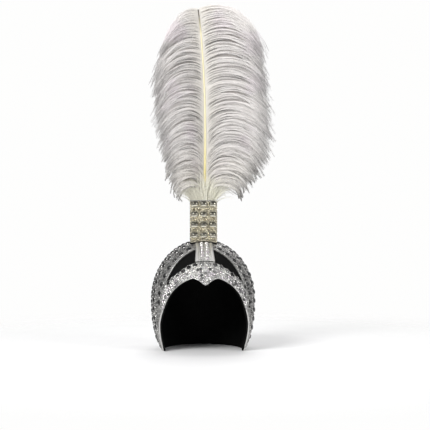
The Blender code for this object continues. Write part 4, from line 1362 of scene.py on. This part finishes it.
def strands(side, layer_middle, number, low=0.012, high=0.983):
    """Lines of barbs that cling together in strands, and a shade value for each: painted shade on the lowest barbs of
    a strand, a little random tone on the others.
    """
    pitch = (high - low) / number
    middle = np.repeat(low + pitch * (np.arange(number) + 0.5 + RNG.normal(0, 0.16, number)), STRAND_BARBS)
    offset = np.tile(np.linspace(-1, 1, STRAND_BARBS), number) + RNG.normal(0, 0.08, number * STRAND_BARBS)
    root = np.clip(middle + offset * pitch / 2, 0.004, 0.985)
    count = len(root)
    each = np.repeat(RNG.normal(0, 1, (5, number)), STRAND_BARBS, axis=1)
    layer = layer_middle + 0.14 * each[0] + RNG.normal(0, 0.03, count)
    longest = 1.0 + 0.036 * each[1]
    scale = np.minimum(1.06, longest * (1 - 0.13 * RNG.random(count) ** 2))
    calm = 1 - 0.75 * np.clip((root - 0.80) / 0.15, 0, 1)
    sway = 0.0030 * each[2] * calm
    curl = 0.02 + 0.05 * RNG.random(count) + 0.05 * np.maximum(0, each[3]) * calm
    line = barb_lines(side, root, layer, scale, sway, curl)
    gather = np.clip(PATH / 0.16, 0, 1)
    gather = gather**2 * (3 - 2 * gather)
    apart = (root - middle) * PLUME_HEIGHT
    line[..., 2] += (STRAND_HALF * offset)[:, None] * np.sqrt(1 - PATH * 0.9)[None] * gather
    line[..., 2] -= apart[:, None] * gather
    # Painted shade: the lowest barbs of each strand get a high shade value, less so near the plume's top.
    light_top = 1 - 0.5 * np.clip((root - 0.78) / 0.12, 0, 1)
    dark = np.clip(0.82 + 0.30 * each[4], 0, 1) * light_top
    return line, np.where(offset < -0.62, dark, 0.25 * RNG.random(count))


def loose_strands(side, face, number):
    """A few thin strands that lie over the others at slants of their own."""
    root = np.repeat(0.06 + 0.88 * RNG.random(number), 5)
    each = np.repeat(RNG.random((4, number)), 5, axis=1)
    offset = np.tile(np.linspace(-1, 1, 5), number)
    calm = 1 - 0.8 * np.clip((root - 0.75) / 0.15, 0, 1)
    scale = 0.80 + 0.29 * each[0] + 0.03 * RNG.random(len(root))
    sway = 0.016 * (each[1] - 0.6) * calm
    line = barb_lines(side, root, face * (0.96 + 0.12 * each[2]), scale, sway, 0.10 * each[3] * calm)
    line[..., 2] += (0.0007 * offset)[:, None] * np.sqrt(PATH)[None]
    # Painted shade: the lowest barb of each loose strand gets a high shade value.
    return line, np.where(offset < -0.8, 0.9, 0.05)


def fluff(side, low_layer, high_layer, number):
    root = (np.arange(number) + RNG.random(number)) / number * 0.955 + 0.025
    layer = low_layer + (high_layer - low_layer) * RNG.random(number)
    scale = np.where(RNG.random(number) < 0.5, 0.96, 0.72) * (1 - 0.10 * RNG.random(number))
    line = barb_lines(side, root, layer, scale, RNG.normal(0, 0.0015, number), 0.03 + 0.04 * RNG.random(number))
    return line, 0.5 * RNG.random(number)


for side, word in ((-1, "left"), (1, "right")):
    for number, layer in enumerate((-0.92, -0.55, 0.55, 0.92)):
        line, tint = strands(side, layer, 70, 0.030 if abs(layer) > 0.8 else 0.010)
        points, faces, values = barb_mesh(line, tint, 0.0006, 0.0030, 64)
        add_piece(f"strands_{word}_{number + 1}", points, faces, BARB, "feather", ["plume_vane"], values=values)
    parts = [loose_strands(side, face, 34) for face in (-1.0, 1.0)]
    line, tint = (np.concatenate(v) for v in zip(*parts))
    points, faces, values = barb_mesh(line, tint, 0.0006, 0.0026, 60)
    add_piece(f"loose_strands_{word}", points, faces, BARB, "feather", values=values)
    line, tint = fluff(side, -0.55, 0.55, 420)
    points, faces, values = barb_mesh(line, tint, 0.0006, 0.0060, 80, 0.9)
    add_piece(f"fluff_{word}", points, faces, FLUFF, "feather", values=values)

# %% [markdown]
# ## Down and stray curls
#
# Where the plume leaves the sleeve its barbs turn to short cream down that fills the mouth and hides the
# foot of the quill. At the lower corners thick strands end in curls that hang out of the outline.

# %% Down and curls
def fan_of_down(number, fill, widest, shortest, longest, tilt):
    """Lines of down that fill a share of the mouth's width and fan out to the widest angle."""
    x = (RNG.random(number) * 2 - 1) * (HOLDER_WIDTH / 2 - HOLDER_WALL - 0.001) * fill
    y = (RNG.random(number) * 2 - 1) * (HOLDER_DEPTH / 2 - HOLDER_WALL - 0.001) - HOLDER_BACK_SHIFT
    start = np.stack([x, y, np.full(number, HOLDER_TOP - 0.010)], -1) + MIDDLE
    angle = x / (HOLDER_WIDTH / 2 * fill) * widest + RNG.normal(0, 0.24, number)
    long = shortest + (longest - shortest) * RNG.random(number)
    lean = RNG.normal(tilt, 0.28, number)
    reach = np.stack([np.sin(angle) * long, np.sin(lean) * long * 0.6, np.cos(angle) * long], -1)
    line = start[:, None] + reach[:, None] * PATH[None, :, None]
    line[..., 2] += 0.008 * (1 - (1 - PATH) ** 2)
    line[..., 2] -= (0.30 * long * np.abs(np.sin(angle)))[:, None] * PATH**3
    line[..., 0] += (0.15 * long * np.sin(angle))[:, None] * PATH**2
    return line


line = np.concatenate([fan_of_down(260, 0.72, 0.75, 0.026, 0.056, 0.0), fan_of_down(260, 0.60, 0.62, 0.020, 0.048, -0.40),
                       fan_of_down(130, 0.60, 0.62, 0.020, 0.048, 0.40), fan_of_down(170, 1.0, 0.50, 0.012, 0.022, 0.0)])
points, faces, values = barb_mesh(line, 0.7 * RNG.random(len(line)) ** 2, 0.0006, 0.0044, 48)
add_piece("down", points, faces, DOWN, "feather", values=values)

for side, word, number in ((-1, "left", 28), (1, "right", 32)):
    root = np.repeat(0.014 + 0.19 * RNG.random(number) ** 1.2, 7)
    each = np.repeat(RNG.random((5, number)), 7, axis=1)
    count = len(root)
    scale = 0.88 + 0.24 * each[0] + 0.03 * RNG.random(count)
    line = barb_lines(side, root, each[1] * 2 - 1, scale, 0.018 * (each[2] - 0.45), np.zeros(count))
    size = 0.004 + 0.006 * each[3]
    bend = np.maximum(0, PATH - 0.70) / 0.30
    swing = bend[None] * (0.8 + 2.4 * each[4])[:, None]
    line[..., 2] -= size[:, None] * (1 - np.cos(swing)) * 1.3
    line[..., 0] += side * size[:, None] * (np.sin(swing) - 1.2 * bend[None])
    line[..., 2] += (np.tile(np.linspace(-1, 1, 7), number) * 0.0013)[:, None] * PATH[None] ** 0.5
    # Painted shade: across each curl the shade value runs from high on the lowest barb to low on the top one.
    tint = np.tile(np.linspace(1.0, 0.1, 7) ** 0.8, number)
    points, faces, values = barb_mesh(line, tint, 0.0012, 0.0032, 56)
    add_piece(f"curls_{word}", points, faces, BARB, "feather", values=values)

# %% [markdown]
# ## Floor, light and camera
#
# A pale disc fades out into a white surround. Three large soft lights and a dim graded surround leave the
# foil something darker to mirror, so that its facets show. The camera stands where the photograph was
# taken from, level with the middle of the headdress and well back.

# %% Studio
scene = bpy.context.scene
scene.view_settings.view_transform = "Standard"

world = bpy.data.worlds.new("surround")
scene.world = world
world.use_nodes = True
tree = world.node_tree
w = Wire(tree)
seen = w.node("LightPath", out="Is Camera Ray")
height = w.node("SeparateXYZ", {}, {0: w.node("TexCoord", out="Generated")}, out="Z")
surround = height.between(-0.6, 0.9).blend(colour(0.30, 0.30, 0.31), colour(0.85, 0.85, 0.86))
background = tree.nodes["Background"]
tree.links.new(seen.blend(surround, colour(0.99, 0.99, 0.985)).socket, background.inputs["Color"])
tree.links.new((seen * 0.45 + 0.55).socket, background.inputs["Strength"])

made, w, shader = finish("floor_finish", roughness=0.8)
spot = w.node("VectorMath", {"operation": "LENGTH"}, {0: w.node("TexCoord", out="Object")}, out="Value")
shade = noise(w, 0.05, 2.0)
feed(shader, base_color=shade.blend(colour(0.86, 0.86, 0.86), colour(0.90, 0.90, 0.90)),
     alpha=1 - spot.between(0.15, 0.75))
bpy.ops.mesh.primitive_circle_add(vertices=96, radius=0.9, fill_type="NGON", location=(0, 0, -0.0005))
floor = bpy.context.object
floor.name = "floor"
floor.data.materials.append(made)


def soft_light(name, place, power, size, tone=(1.0, 1.0, 1.0)):
    light = bpy.data.lights.new(name, "AREA")
    light.energy = power
    light.size = size
    light.color = tone
    holder = bpy.data.objects.new(name, light)
    scene.collection.objects.link(holder)
    holder.location = place
    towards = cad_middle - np.array(place)
    holder.rotation_euler = Vector(towards).to_track_quat("-Z", "Y").to_euler()
    return holder


from mathutils import Vector

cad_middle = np.array([0.0, 0.0, 0.28])
soft_light("key", (-1.1, -1.5, 1.35), 38.5, 0.8)
soft_light("fill", (1.5, -1.2, 0.7), 14.0, 1.0)
soft_light("top", (0.1, 0.3, 1.9), 8.0, 0.9)
soft_light("behind", (0.3, 1.7, 0.9), 7.0, 1.0)

CAMERA_TURN = math.radians(-3.0)
CAMERA_RISE = math.radians(1.3)
CAMERA_AWAY = 2.4
LOOK_AT = Vector((0.004, -0.02, 0.225))

camera_data = bpy.data.cameras.new("camera")
camera_data.lens = 121.0
camera_data.sensor_width = 36.0
camera = bpy.data.objects.new("camera", camera_data)
scene.collection.objects.link(camera)
level_away = CAMERA_AWAY * math.cos(CAMERA_RISE)
camera.location = LOOK_AT + Vector((level_away * math.sin(CAMERA_TURN), -level_away * math.cos(CAMERA_TURN),
                                    CAMERA_AWAY * math.sin(CAMERA_RISE)))
camera.rotation_euler = (LOOK_AT - camera.location).to_track_quat("-Z", "Y").to_euler()
scene.camera = camera
print("camera", [round(x, 3) for x in camera.location])
